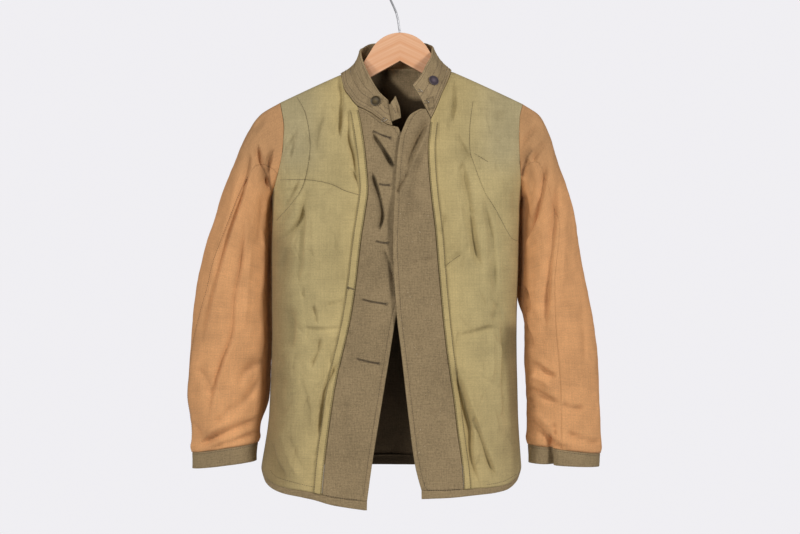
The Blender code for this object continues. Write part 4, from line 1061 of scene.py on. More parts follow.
def front_facing(side):
    low = ((HEM_Z, BODY_ROWS), (ARMPIT_Z, ARMHOLE_ROWS), (FACING_NECK_Z, SHOULDER_ROWS))
    nominal = heights(*low, (FACING_TOP[side], 0))
    x = []
    for z in nominal:
        seam = edge_at(LINING_EDGES[side], side, z) - MIRROR[side] * SEAM_GAP / 2
        if side == "right" and z > FACING_CORNER["z"].min():
            seam = float(read(FACING_CORNER, "x", z))
        rows = FRONT_EDGES[side] if z < FRONT_EDGES[side]["z"][0] else NECKLINES[side]
        x.append(np.linspace(seam, edge_at(rows, side, z), FACING_COLUMNS + 1))
    x = np.array(x)
    z = settle(side, x, np.repeat(np.array(nominal)[:, None], x.shape[1], 1))
    from_edge = np.abs(x - x[:, -1:])
    out = -STITCH_SINK * bell((from_edge - EDGE_STITCH) / STITCH_SINK_WIDE)
    out -= EDGE_ROLL_IN * np.clip(1 - from_edge / EDGE_ROLL, 0, 1) ** 2
    tone = plain(WOOL_TONE, x) * (1 + EDGE_PALE * bell(from_edge / EDGE_PALE_WIDE))[..., None]
    if side == "left":
        # painted shade in the fly's openings
        tone = tone * (1 - gap_shade(FLY_GAPS, *photo_pixel(place(side, x, z))))[..., None]
    name = "facing_cloth_" + side
    body_piece(name, side, x, z, out, WALLS["facing"], (tone, WOOL_INSIDE_PAINTED_SHADE), (BROWN_WOOL,))
    return x[0]


lower_edges = {}
for front in MIRROR:
    lower_edges[front] = np.concatenate([front_facing(front)[::-1], front_lining(front)])
print("front sheets", sorted(cloth))

# %% [markdown]
# The back is two layers: the cotton lining outside, as the jacket is inside out, and the wool
# shell just within it, which shows in the neck and between the fronts. The shell's colour is painted
# shade, with a painted pool of light in the neck. The turned hem hangs below all three panels as a
# rounded wool edge.

# %% Back and hem
BACK_COLUMNS, BACK_NECK_ROWS = 120, 5
BACK_ROW_STEP = 2  # the back has one row for this many of a front
BACK_INSET = 0.005
NO_FACING_X = 1.0  # far outside, as the back has no facing
HEM_ROWS = 8
HEM_ROLL, HEM_THINNING = 0.0011, 1.9  # how far the hem's foot rolls in, and how that thins it
HEM_TURNED, HEM_BEHIND, HEM_TURNED_WALL = 1.25, 0.0042, 0.0012  # its upper edge, turned up behind the panel
HEM_CUFF_PAINTED_SHADE = 0.6  # painted shade: brightness of the wool inside hems and cuffs
SHELL_RISE = 0.004  # the shell's seam allowance stands up inside the collar
SHELL_TOP_OUT = -0.0028
# painted light: a pool of light through the neck opening on the shell's inside
NECK_PAINTED_LIGHT = linear(205, 180, 140)
NECK_LEFT_PIXEL, NECK_LOW_PIXEL = 386, 103  # the painted light in the neck ends at this column and row
NECK_CORNER, NECK_CORNER_START = (387, 78), 0.2  # and a painted shadow cuts it off below a line that falls from here
NECK_FADE = 7  # pixels over which it ends


def back_neck_z(x):
    """The back neckline arches up a little between the two shoulder seams."""
    (left_x, left_z), (right_x, right_z) = [(n["x"][0], n["z"][0]) for n in NECKLINES.values()]
    share = np.clip((x - left_x) / (right_x - left_x), 0, 1)
    return left_z + (right_z - left_z) * share + BACK_NECK_RISE * np.sin(math.pi * share)


def neck_painted_light(across, down):
    """How far a place lies in the painted light inside the neck."""
    above = ((across - NECK_CORNER[0]) - (down - NECK_CORNER[1])) / math.sqrt(2)
    inside = smooth((across - NECK_LEFT_PIXEL) / NECK_FADE) * smooth((NECK_LOW_PIXEL - down) / NECK_FADE)
    return inside * smooth(above / NECK_FADE + NECK_CORNER_START)


def back_panels():
    tip_z = min(rows["z"][0] for rows in ARMHOLES.values())
    left_x, left_z = NECKLINES["left"]["x"][0], NECKLINES["left"]["z"][0]
    right_x = NECKLINES["right"]["x"][0]
    low = [(z, count // BACK_ROW_STEP) for z, count in ((HEM_Z, BODY_ROWS), (ARMPIT_Z, ARMHOLE_ROWS))]
    spread = (1 + np.sin(np.linspace(-math.pi / 2, math.pi / 2, BACK_COLUMNS + 1))) / 2
    x, z = [], []
    for height in heights(*low, (tip_z, SHOULDER_ROWS), (left_z - BACK_INSET, 0)):
        left, right = panel_edge("left", height), panel_edge("right", height)
        x.append(left + (right - left) * spread)
        z.append(settle("back", x[-1], np.full_like(spread, height)))
    neck_x = left_x + (right_x - left_x) * spread
    last_x, last_z = x[-1], z[-1]
    for share in shares(BACK_NECK_ROWS)[1:]:
        x.append(last_x + (neck_x - last_x) * share)
        z.append(last_z + (back_neck_z(neck_x) - last_z) * share)
    x, z = np.array(x), np.array(z)
    tone = lining_tone("back", x, z, NO_FACING_X)
    body_piece("back_cloth", "back", x, z, 0.0, WALLS["back"], (tone, tone), (OLIVE_COTTON,))

    arch = SHELL_RISE * np.sin(math.pi * shares(BACK_COLUMNS))
    x, z = np.vstack([x, x[-1:]]), np.vstack([z, z[-1:] + arch])
    out = np.full_like(x, -WALLS["back"] - LAYER_GAP)
    out[-1] = SHELL_TOP_OUT
    # the shell's wool: painted shade, with painted light in the neck
    tone = blend(plain(WOOL_INSIDE_PAINTED_SHADE, x), NECK_PAINTED_LIGHT, neck_painted_light(*photo_pixel(place("back", x, z))))
    body_piece("back_shell_cloth", "back", x, z, out, WALLS["shell"], (tone, tone), (BROWN_WOOL,))
    return x[0]


def hem(name, face, top_x, inside):
    """The turned wool band below a panel's lower edge, rounded at its foot."""
    sag, tall = hem_height(face, top_x, np.full_like(top_x, HEM_Z))
    x, z, out = [], [], []
    for rise in np.append(shares(HEM_ROWS), HEM_TURNED):
        side_z = HEM_Z + min(rise, 1) * HEM_TALL_SIDE
        left = read(SIDES, "left", side_z) / read(SIDES, "left", HEM_Z + HEM_TALL_SIDE)
        right = read(SIDES, "right", side_z) / read(SIDES, "right", HEM_Z + HEM_TALL_SIDE)
        x.append(top_x * np.where(top_x < 0, left, right))
        z.append(HEM_Z - sag + rise * (tall - HEM_GAP))
        out.append(np.full_like(top_x, -HEM_ROLL * (1 - rise) ** 3 if rise < HEM_TURNED else -HEM_BEHIND))
    x, z, out = np.array(x), np.array(z), np.array(out)
    thick = np.where(out > -HEM_BEHIND, WALLS["hem"] + HEM_THINNING * out, HEM_TURNED_WALL)
    body_piece(name, face, x, z, out, thick, (WOOL_TONE, inside), (BROWN_WOOL,))


lower_edges["back"] = back_panels()
# painted shade inside each hem, deeper on the back
for panel_face, edge in lower_edges.items():
    inside = WOOL_INSIDE_PAINTED_SHADE if panel_face == "back" else WOOL_TONE
    hem("hem_cloth_" + panel_face, panel_face, edge, HEM_CUFF_PAINTED_SHADE * inside)
print("body sheets", len(cloth))

# %% [markdown]
# A sleeve is a tube from the armhole to the cuff, cut in two pieces. Its rings come from a table of
# outermost and innermost points, with the depth of each ring and the place of its middle. A second
# table says how far round the sleeve the front seam runs, because it winds towards the cuff.

# %% Tables of the sleeves
SLEEVES = {
    "left": table(
        "along outer_x outer_z inner_x inner_z depth middle",
        (0.000, -0.1910, -0.2062, -0.2045, -0.3560, 0.026, -0.003),
        (0.058, -0.2240, -0.2278, -0.2055, -0.3605, 0.031, -0.003),
        (0.110, -0.2448, -0.2580, -0.2068, -0.3690, 0.034, -0.004),
        (0.200, -0.2688, -0.3110, -0.2095, -0.3890, 0.038, -0.005),
        (0.335, -0.2944, -0.3846, -0.2105, -0.4300, 0.042, -0.006),
        (0.490, -0.3200, -0.4740, -0.2105, -0.4970, 0.044, -0.008),
        (0.650, -0.3310, -0.5700, -0.2115, -0.5750, 0.043, -0.010),
        (0.810, -0.3384, -0.6694, -0.2138, -0.6630, 0.040, -0.012),
        (0.920, -0.3304, -0.7400, -0.2240, -0.7270, 0.036, -0.013),
        (0.958, -0.3296, -0.7638, -0.2270, -0.7480, 0.033, -0.013),
        (1.000, -0.3296, -0.7890, -0.2290, -0.7766, 0.032, -0.013),
    ),
    "right": table(
        "along outer_x outer_z inner_x inner_z depth middle",
        (0.000, 0.1960, -0.2086, 0.1940, -0.3560, 0.026, -0.003),
        (0.058, 0.2224, -0.2278, 0.1946, -0.3605, 0.031, -0.003),
        (0.110, 0.2375, -0.2560, 0.1955, -0.3690, 0.034, -0.004),
        (0.200, 0.2550, -0.3110, 0.1972, -0.3890, 0.038, -0.005),
        (0.335, 0.2768, -0.3846, 0.1970, -0.4300, 0.042, -0.006),
        (0.490, 0.2920, -0.4740, 0.1945, -0.4970, 0.044, -0.008),
        (0.650, 0.3104, -0.5700, 0.1980, -0.5680, 0.043, -0.010),
        (0.810, 0.3184, -0.6680, 0.2005, -0.6500, 0.040, -0.012),
        (0.920, 0.3190, -0.7330, 0.2016, -0.7250, 0.036, -0.013),
        (0.958, 0.3176, -0.7654, 0.2030, -0.7510, 0.033, -0.013),
        (1.000, 0.3168, -0.7860, 0.2040, -0.7800, 0.032, -0.013),
    ),
}
SLEEVE_LONG, SLEEVE_GIRTH_RADIUS = 0.620, 0.055  # for the flat cut
SLEEVE_SEAM_GAP = 0.000004
SLEEVE_HOLD = 0.16  # share of the length over which a sleeve leaves the armhole's outline
SLEEVE_START, SLEEVE_END, CUFF_START = 0.0008, 0.957, 0.9576
SEAM_BACK = math.radians(220)
SEAM_TURNS = table(  # where the front seam runs round the sleeve, in degrees
    "along left right",
    (0.00, 125, 120),
    (0.06, 104, 100),
    (0.12, 84, 82),
    (0.32, 68, 72),
    (0.50, 55, 92),
    (0.66, 30, 100),
    (0.80, 12, 98),
    (1.00, 2, 96),
)
print("sleeve rings", {arm: len(rows["along"]) for arm, rows in SLEEVES.items()})

# %% [markdown]
# Creases gather at the armpit, at the elbow and above the cuff, where the lining is longer than the
# wool and rolls over it. They are written as those of the body are, with one list for the front
# half of each sleeve and one for the back half.

# %% Creases of the sleeves
SLEEVE_CREASES = {}
SLEEVE_CREASES["left", "front"] = [
    (4, -7, 1, (257, 142), (261, 160), (267, 177), (271, 190)),
    (3.5, -6, -1, (275, 147), (269, 161), (268, 178), (270, 192)),
    (5, 3, 0, (268, 150), (265, 160), (264, 172)),
    (6, 2.5, 0, (254, 139), (262, 131), (271, 124)),
    (7, -3, 1, (248, 133), (258, 124), (268, 113)),
    (7, -3, 1, (250, 150), (248, 170), (243, 190)),
    (4, -4.5, 2.5, (250, 150), (246, 184), (229, 236), (212, 297), (200, 350)),
    (7, 2.5, 0, (240, 176), (224, 230), (207, 292)),
    (3.5, -4, 2.2, (246, 214), (242, 264), (235, 300), (233, 334), (221, 366), (211, 402), (206, 430)),
    (7, 2.5, 0, (251, 240), (247, 290), (244, 330)),
    (8, -3.5, 0, (262, 190), (262, 222), (258, 248)),
    (7, -5, 1.5, (268, 360), (256, 366), (246, 374), (240, 388)),
    (6, -3.5, 1, (262, 374), (254, 392), (243, 404), (228, 412)),
    (6, -2.5, 0, (196, 366), (206, 380), (210, 398)),
    (4, -6, 2, (194, 452), (203, 442), (213, 436), (229, 429), (250, 421), (262, 414)),
    (6, 4, 0, (200, 440), (214, 429), (230, 421), (248, 413)),
    (4, -4.5, 1.5, (208, 450), (220, 444), (234, 440), (249, 434), (260, 430)),
    (5, -2.5, 0, (214, 424), (226, 414), (232, 404)),
    (4, -3, 0, (191, 420), (198, 430), (204, 438)),
]
SLEEVE_CREASES["left", "back"] = [
    (5, -6, 1, (262, 150), (268, 176), (270, 194)),
    (8, -4.5, 1, (246, 190), (236, 250), (228, 310)),
    (7, -5, 1, (212, 330), (232, 344), (258, 350)),
    (6, -4, 1, (204, 356), (226, 372), (250, 378)),
    (5, -5, 1.5, (196, 436), (222, 424), (252, 416)),
    (7, -3, 0, (224, 250), (214, 300), (208, 350)),
]
SLEEVE_CREASES["right", "front"] = [
    (3.5, -6, 2.5, (543, 124), (533, 133), (524, 143), (517, 152)),
    (4, -7.5, 0, (529, 158), (524, 168), (520, 180)),
    (6, 2.5, 0, (546, 134), (534, 146), (524, 160)),
    (4.5, -3.5, 1.5, (548, 143), (540, 152), (532, 164)),
    (6, -5, 2, (559, 168), (557, 210), (551, 262), (547, 312), (545, 336)),
    (8, 2.5, 0, (566, 190), (564, 240), (560, 300)),
    (4.5, -6, 2.5, (548, 160), (545, 184), (540, 204), (533, 224), (523, 246)),
    (5, -3, 0.5, (525, 190), (526, 212), (532, 226)),
    (5, -4, 1, (521, 284), (528, 298), (530, 314)),
    (5, -3, 1, (523, 318), (530, 334), (534, 350)),
    (4, -4.5, 1.5, (530, 361), (540, 366), (548, 372), (559, 377)),
    (4, -4.5, 1.5, (524, 384), (538, 391), (549, 398), (562, 402)),
    (5, -3, 1, (560, 403), (572, 407), (586, 408)),
    (5, 3, 0, (528, 374), (540, 380), (552, 387)),
    (4, -6, 2, (524, 415), (538, 426), (549, 438), (560, 445), (576, 448)),
    (6, 3.5, 0, (532, 410), (546, 423), (558, 434)),
    (4, -4, 1.5, (566, 430), (580, 437), (603, 443)),
    (4, -3, 0, (553, 424), (555, 436)),
    (6, -3, 0, (527, 396), (533, 410)),
    (6, -2, 0, (580, 300), (584, 340), (584, 372)),
    (7.5, -13, 0, (549, 432), (548, 450), (548, 466), (548, 482)),
]
SLEEVE_CREASES["right", "back"] = [
    (5, -6, 1, (534, 152), (526, 172), (522, 190)),
    (8, -4.5, 1, (552, 196), (562, 250), (566, 306)),
    (7, -5, 1, (578, 330), (556, 346), (530, 352)),
    (6, -4, 1, (584, 360), (562, 374), (536, 380)),
    (5, -5, 1.5, (592, 430), (566, 420), (534, 412)),
]
print("sleeve creases", {" ".join(key): len(rows) for key, rows in SLEEVE_CREASES.items()})

# %% [markdown]
# The sleeve's surface is a function too: a place along the sleeve and a turn round it give a point.
# Near the top the rings pass over into the armhole's own outline, so sleeve and body meet. The inner
# side is tucked in a little, so it lies just clear of the body.

# %% The sleeves' surface
TUCKS = {"left": (0.0, 0.94), "right": (0.0, 0.64)}  # where the tuck starts and stops
TUCK_START, TUCK_FADE = 0.22, 0.10  # over how much of the length it comes and goes
TUCK_IN, TUCK_FLAT = 0.012, 0.8  # how far in it goes, and how much flatter its creases are
TUCK_TURN, TUCK_SPREAD = math.radians(208), math.radians(16)
ROLL_AT, ROLL_LONG, ROLL_OUT = 0.944, 0.013, 0.0028  # the lining's roll above the cuff
SLEEVE_WAVE_SEEDS = {"left": 51, "right": 57}
SIDE_FADE = 0.35  # creases fade out past the sleeve's side by this much
TINY = 1e-12  # keeps a normal's length above nothing


def armhole_ring(side, share):
    """The armhole's own outline, front half and back half, from -1 at the armpit to 1 at the tip."""
    z = ARMPIT_Z + (ARMHOLES[side]["z"][0] - ARMPIT_Z) * (1 + share) / 2
    x = read(ARMHOLES[side], "x", z)
    ring = []
    for face, facing in ((side, -1.0), ("back", 1.0)):
        ring.append(np.stack([x, facing * (SEAM_GAP / 2 + np.maximum(reach(face, x, z), 0)), z], -1))
    return ring


def sleeve_folds(side, point, along, turn):
    """Creases of a sleeve, from the lines for its front and its back half."""
    seen_at = photo_pixel(point)
    relief = soft_waves(turn * SLEEVE_GIRTH_RADIUS, along * SLEEVE_LONG, SLEEVE_WAVE_SEEDS[side])
    line = np.zeros_like(relief)
    for half, way in (("front", 1.0), ("back", -1.0)):
        weight = smooth((way * np.sin(turn) + SIDE_FADE) / (2 * SIDE_FADE))
        some_relief, some_line = folds(SLEEVE_CREASES[side, half], *seen_at)
        relief = relief + FOLD_GAIN * weight * some_relief
        line = line + weight * some_line
    roll = ROLL_OUT * bell((along - ROLL_AT) / ROLL_LONG)
    return relief + roll * (along < CUFF_START), line


def tuck(side, along, turn):
    """How far the sleeve's inner side lies in behind the body, from 0 to 1."""
    start, stop = TUCKS[side]
    off = (turn - TUCK_TURN + math.pi) % (2 * math.pi) - math.pi
    stretch = smooth((along - start) / TUCK_START) * smooth((stop - along) / TUCK_FADE)
    return stretch * bell(off / TUCK_SPREAD)


def ring_point(ring, across, forward):
    """Points of a plain ring: across runs from -1 innermost to 1 outermost, forward to the front."""
    share = (1 + across) / 2
    x = ring["inner_x"] + (ring["outer_x"] - ring["inner_x"]) * share
    z = ring["inner_z"] + (ring["outer_z"] - ring["inner_z"]) * share
    return np.stack([x, ring["middle"] - ring["depth"] * forward, z], -1)


def sleeve_point(side, along, turn):
    """Outer face of a sleeve and its creases: turn 0 is outermost, 90 degrees is the front."""
    rows = SLEEVES[side]
    across, forward = np.cos(turn), np.sin(turn)
    point = ring_point({key: read(rows, key, along, by="along") for key in rows}, across, forward)
    first = {key: rows[key][0] for key in rows}
    front, back = armhole_ring(side, across)
    own = np.where((forward >= 0)[..., None], front, back)
    hold = np.clip(1 - along / SLEEVE_HOLD, 0, 1) ** 2
    point += hold[..., None] * (own - ring_point(first, across, forward))
    tucked = tuck(side, along, turn)
    relief, line = sleeve_folds(side, point, along, turn)
    relief *= (1 - hold**2) * (1 - TUCK_FLAT * tucked)
    point[..., 0] += (relief * across - TUCK_IN * tucked) * np.sign(first["outer_x"])
    point[..., 1] -= relief * forward
    return point, relief, line * (1 - hold**2)


def facing_out(grid, middle):
    """Unit normals of a grid that point away from its middle."""
    normal = np.cross(np.gradient(grid, axis=1), np.gradient(grid, axis=0))
    normal /= np.maximum(np.linalg.norm(normal, axis=-1, keepdims=True), TINY)
    return normal * np.sign((normal * (grid - middle)).sum())


print("tuck", TUCK_IN / MM, "mm, roll", ROLL_OUT / MM, "mm")

# %% [markdown]
# Each sleeve is three sheets: the upper and the under piece of tan cotton, which meet along the two
# seams, and the turned wool cuff, which closes on itself. The cotton is greyer towards the shoulder
# and dark in the deepest folds by the armpit, where no light gets in.

# %% Sleeves and cuffs
PIT_GAPS = {  # openings by the armpits with painted shade, like those of the fly
    "left": [
        (0.5, 1.3, (275, 148), (269.5, 158), (268.8, 168), (269.5, 178), (271, 190)),
        (0.6, 1.8, (261, 164), (266, 173), (269.5, 182), (271.5, 192)),
    ],
    "right": [
        (0.8, 2.0, (534, 148), (528, 156), (525, 163), (521, 178)),
    ],
}
PIT_PAINTED_SHADE, PIT_CRISP, PIT_FRONT = 0.75, 2.4, 0.3  # their painted shade is paler and softer, and only in front
TAN_TONE, TAN_TOP = linear(219, 161, 109), linear(188, 143, 99)
TAN_TOP_PIXEL, TAN_TOP_FADE, TAN_TOP_SHARE = 205, 70, 0.9
SLEEVE_WEAR_SEEDS = {"left": 81, "right": 87}
SLEEVE_ROWS, SLEEVE_COLUMNS = 200, 84
ROW_CROWDING = 1.15  # above 1, rows stand closer by the armhole
CUFF_ROWS, CUFF_COLUMNS = 12, 150


def tan_tone(side, point, turn):
    """Colour of the tan cotton, with painted shade in the openings of its deepest folds."""
    across, down = photo_pixel(point)
    top = TAN_TOP_SHARE * smooth((TAN_TOP_PIXEL - down) / TAN_TOP_FADE)
    dark = PIT_PAINTED_SHADE * gap_shade(PIT_GAPS[side], across, down, PIT_CRISP) * smooth(np.sin(turn) / PIT_FRONT)
    return blend(plain(TAN_TONE, down), TAN_TOP, top) * (1 - dark)[..., None]


def sleeve_piece(name, side, along, turn, thick, inside, materials, wraps=False):
    """A patch of a sleeve between two turns, with its cut laid flat."""
    outer, relief, line = sleeve_point(side, along, turn)
    inner = outer - thick * facing_out(outer, outer.mean(1, keepdims=True))
    u, v = turn * SLEEVE_GIRTH_RADIUS, along * SLEEVE_LONG
    tone = tan_tone(side, outer, turn) if materials[0] == TAN_COTTON else WOOL_TONE
    colours = [painted_shade_and_wear(each, relief, line, u, v, SLEEVE_WEAR_SEEDS[side]) for each in (tone, inside)]
    cut = np.stack([u, v], -1)
    cloth[name] = sheet_mesh(name, outer, inner, cut, colours, materials, wraps, crisp=not wraps)
    faces[name] = outer


def sleeve(side):
    share = shares(SLEEVE_ROWS) ** ROW_CROWDING
    along = np.repeat((SLEEVE_START + (SLEEVE_END - SLEEVE_START) * share)[:, None], SLEEVE_COLUMNS + 1, 1)
    gap = SLEEVE_SEAM_GAP / SLEEVE_GIRTH_RADIUS
    share = shares(SLEEVE_COLUMNS)
    seam = np.radians(read(SEAM_TURNS, side, along, by="along"))
    under = (seam + gap) + (SEAM_BACK - seam - 2 * gap) * share
    upper = (SEAM_BACK - 2 * math.pi + gap) + (seam - SEAM_BACK + 2 * math.pi - 2 * gap) * share
    for part, turn in (("under", under), ("upper", upper)):
        name = f"sleeve_{part}_cloth_{side}"
        sleeve_piece(name, side, along, turn, WALLS["sleeve"], WOOL_INSIDE_PAINTED_SHADE, (TAN_COTTON, BROWN_WOOL))
    turn = np.linspace(0, 2 * math.pi, CUFF_COLUMNS, endpoint=False)
    turn, along = np.meshgrid(turn, np.linspace(CUFF_START, 1.0, CUFF_ROWS + 1))
    name = "cuff_cloth_" + side
    # painted shade on the cuff's inside
    sleeve_piece(name, side, along, turn, WALLS["cuff"], HEM_CUFF_PAINTED_SHADE * WOOL_TONE, (BROWN_WOOL,), wraps=True)


for arm in ("left", "right"):
    sleeve(arm)
print("sheets so far", len(cloth))

# %% [markdown]
# The stand collar is one strip of wool from front end to front end. It is lofted between its foot
# on the neckline and its rim, and pressed creases run up it where it bends.

# %% Tables of the collar
COLLAR_LEFT = table(
    "foot_z rim_x rim_y rim_z",
    (-0.2490, -0.0190, -0.0600, -0.2085),
    (-0.2372, -0.0335, -0.0520, -0.1935),
    (-0.2215, -0.0460, -0.0400, -0.1720),
    (-0.2010, -0.0560, -0.0240, -0.1500),
    (-0.1800, -0.0625, -0.0080, -0.1300),
    (-0.1625, -0.0645, 0.0080, -0.1195),
)
COLLAR_BACK = table(
    "foot_x rim_x rim_y rim_z",
    (-0.0935, -0.0640, 0.0110, -0.1185),
    (-0.0660, -0.0480, 0.0310, -0.1085),
    (-0.0060, -0.0060, 0.0400, -0.1055),
    (0.0560, 0.0370, 0.0310, -0.1065),
    (0.0815, 0.0522, 0.0110, -0.1135),
)
COLLAR_RIGHT = table(
    "foot_z rim_x rim_y rim_z",
    (-0.1575, 0.0525, 0.0080, -0.1145),
    (-0.1780, 0.0510, -0.0150, -0.1300),
    (-0.1960, 0.0425, -0.0310, -0.1480),
    (-0.2180, 0.0340, -0.0450, -0.1660),
    (-0.2370, 0.0205, -0.0550, -0.1840),
)
COLLAR_CREASES = [
    (2.6, -1.6, 0.5, (350, 66), (356, 80), (360, 90)),
    (2.6, -1.6, 0.5, (355, 62), (361, 76), (366, 90)),
    (2.6, -1.4, 0.5, (361, 62), (366, 76), (370, 88)),
    (3, -1.6, 0, (380, 92), (384, 104), (386, 114)),
    (2.8, -1.8, 0.5, (436, 57), (433, 68), (431, 78)),
    (2.6, -1.4, 0.5, (447, 66), (443, 76), (441, 86)),
    (2.6, -1.2, 0.5, (451, 71), (446, 80), (444, 90)),
    (2.6, -1.4, 0, (425, 84), (428, 96), (432, 108)),
]
print("collar creases", len(COLLAR_CREASES))

# %% [markdown]
# The collar's foot follows the necklines, so it meets the body. It dips in over the shoulder
# seams, and its rim rolls in and is worn paler.

# %% Collar
COLLAR_STEPS, COLLAR_RISE_STEPS = 64, 22
COLLAR_COLUMN, COLLAR_TALL = 0.0022, 0.05  # of the flat cut
COLLAR_BULGE = 0.0025
COLLAR_GAP = 0.0010  # between the collar's foot and the neckline
COLLAR_TONE = linear(157, 136, 103)
COLLAR_DENTS = ((65, 0.0095), (130, 0.0065))  # columns, and how far they dip in
COLLAR_DENT_SPREAD = 17.0
COLLAR_TURN, COLLAR_TURN_FADE = 0.2, 0.6  # creases fade out where it turns from the front
COLLAR_WAVES = 0.4  # share of the lining's waves
COLLAR_ROLL, COLLAR_ROLL_SHARE, COLLAR_THINNING = 0.0009, 0.08, 1.8  # its rim rolls in and is thinner
RIM_PALE, RIM_PALE_SHARE = 0.14, 0.07  # and is worn paler
COLLAR_PAINTED_SHADE = 2  # its creases get painted shade as if this much deeper
COLLAR_WAVE_SEED, COLLAR_WEAR_SEED = 61, 93


def collar_lines():
    """Foot and rim of the collar, from its left end round the back to its right end."""
    foot, rim = [], []
    for rows, face in ((COLLAR_LEFT, "left"), (COLLAR_BACK, "back"), (COLLAR_RIGHT, "right")):
        count = len(rows["rim_x"])
        rows = {**rows, "s": np.arange(count, dtype=float)}
        s = np.linspace(0, count - 1, COLLAR_STEPS + 1)
        if face == "back":
            x = read(rows, "foot_x", s, by="s")
            z = back_neck_z(x)
        else:
            z = read(rows, "foot_z", s, by="s")
            x = read(NECKLINES[face], "x", z)
        foot.append(place(face, x, z, WALLS["collar"] / 2))
        rim.append(np.stack([read(rows, key, s, by="s") for key in ("rim_x", "rim_y", "rim_z")], -1))
    return np.concatenate(foot), np.concatenate(rim)


def collar():
    foot, rim = collar_lines()
    tall = np.linalg.norm(rim - foot, axis=-1)
    share = shares(COLLAR_RISE_STEPS)[:, None]
    rise = COLLAR_GAP / tall + (1 - COLLAR_GAP / tall) * share
    grid = foot + (rim - foot) * rise[..., None]
    normal = facing_out(grid, grid.mean((0, 1)))
    front = smooth((-normal[..., 1] + COLLAR_TURN) / COLLAR_TURN_FADE)
    relief, line = [front * each for each in folds(COLLAR_CREASES, *photo_pixel(grid))]
    run = np.broadcast_to(np.cumsum(np.full(grid.shape[1], COLLAR_COLUMN)), grid.shape[:2])
    up = share * COLLAR_TALL + 0 * run
    relief = relief + COLLAR_WAVES * soft_waves(run, up, COLLAR_WAVE_SEED)
    edge = -COLLAR_ROLL * np.clip(1 - (1 - share) / COLLAR_ROLL_SHARE, 0, 1) ** 2
    column = np.arange(grid.shape[1])
    dent = sum(deep * bell((column - at) / COLLAR_DENT_SPREAD) for at, deep in COLLAR_DENTS)
    out = (COLLAR_BULGE - dent) * np.sin(math.pi * share) + edge + relief
    face = grid + out[..., None] * normal
    back = face - (WALLS["collar"] + COLLAR_THINNING * edge)[..., None] * normal
    colour = painted_shade_and_wear(COLLAR_TONE, COLLAR_PAINTED_SHADE * relief, line, run, up, COLLAR_WEAR_SEED)
    colour = colour * (1 + RIM_PALE * bell((1 - share) / RIM_PALE_SHARE))[..., None]
    cut = np.stack([run, up], -1)
    cloth["collar_cloth"] = sheet_mesh("collar_cloth", face, back, cut, (colour, colour), (BROWN_WOOL,))
    faces["collar_cloth"] = face
    return face


collar_face = collar()
print("collar columns", collar_face.shape[1])

# %% [markdown]
# The folded end of the collar stand hangs beside its left end. It starts on the collar's own edge,
# and one ridge and one trough fold it.

# %% Collar tab
TAB = table(
    "rise right_x right_z right_y",
    (0.15, 0.0012, -0.2370, -0.0690),
    (0.50, -0.0010, -0.2220, -0.0720),
    (0.90, -0.0078, -0.2030, -0.0690),
)
TAB_STEPS = 18
TAB_WIDE, TAB_TALL = 0.024, 0.034  # of the flat cut
TAB_HOLLOW = 0.0062  # how far the tab's upper edge dips before its point
TAB_HOLLOW_LEAN, TAB_HOLLOW_RISE = 0.7, 3  # nearer the collar, and fading towards the foot
# a ridge and a trough up the tab: height in metres, then place at the foot, lean and half width
TAB_RIDGE, TAB_RIDGE_FOOT, TAB_RIDGE_LEAN, TAB_RIDGE_WIDE = 0.0026, 0.325, 0.25, 0.16
TAB_TROUGH, TAB_TROUGH_FOOT, TAB_TROUGH_LEAN, TAB_TROUGH_WIDE = 0.0030, 0.90, 0.30, 0.10
TAB_TROUGH_AT, TAB_TROUGH_TALL = 0.35, 0.28  # the trough is deepest at this height
TAB_WEAR_SEED = 95


def collar_tab(end):
    rows = []
    for rise in np.linspace(TAB["rise"][0], TAB["rise"][-1], TAB_STEPS + 1):
        start = end[int(round(rise * COLLAR_RISE_STEPS))]
        stop = np.array([read(TAB, key, rise, by="rise") for key in ("right_x", "right_y", "right_z")])
        way = (stop - start) / np.linalg.norm(stop - start)
        rows.append(np.linspace(start + way * SEAM_GAP, stop, TAB_STEPS + 1))
    grid = np.array(rows)
    normal = facing_out(grid, grid.mean((0, 1)))
    normal *= -np.sign(normal[..., 1:2])
    u, v = np.meshgrid(shares(TAB_STEPS), shares(TAB_STEPS))
    grid[..., 2] -= TAB_HOLLOW * np.sin(math.pi * u**TAB_HOLLOW_LEAN) * v**TAB_HOLLOW_RISE
    ridge = (u - TAB_RIDGE_FOOT - TAB_RIDGE_LEAN * v) / TAB_RIDGE_WIDE
    trough = (u - TAB_TROUGH_FOOT + TAB_TROUGH_LEAN * v) / TAB_TROUGH_WIDE
    fold = TAB_RIDGE * bell(ridge)
    fold -= TAB_TROUGH * bell(trough) * bell((v - TAB_TROUGH_AT) / TAB_TROUGH_TALL)
    face = grid + fold[..., None] * normal
    back = face - WALLS["tab"] * normal
    cut = np.stack([u * TAB_WIDE, v * TAB_TALL], -1)
    colour = painted_shade_and_wear(COLLAR_TONE, COLLAR_PAINTED_SHADE * fold, 0 * fold, cut[..., 0], cut[..., 1], TAB_WEAR_SEED)
    cloth["collar_tab_cloth"] = sheet_mesh("collar_tab_cloth", face, back, cut, 2 * [colour], (BROWN_WOOL,))


collar_tab(collar_face[:, 0])
print("sheets", len(cloth))

# %% [markdown]
# Sewing thread lies on the cloth as short stitches that dip into it at both ends. A row of them
# follows either a line of a sheet's own grid or a line of the photograph, which is cast from the
# camera onto the sheet. Each stitch is a bent curve with a small round profile, and a whole row is
# turned into one mesh.

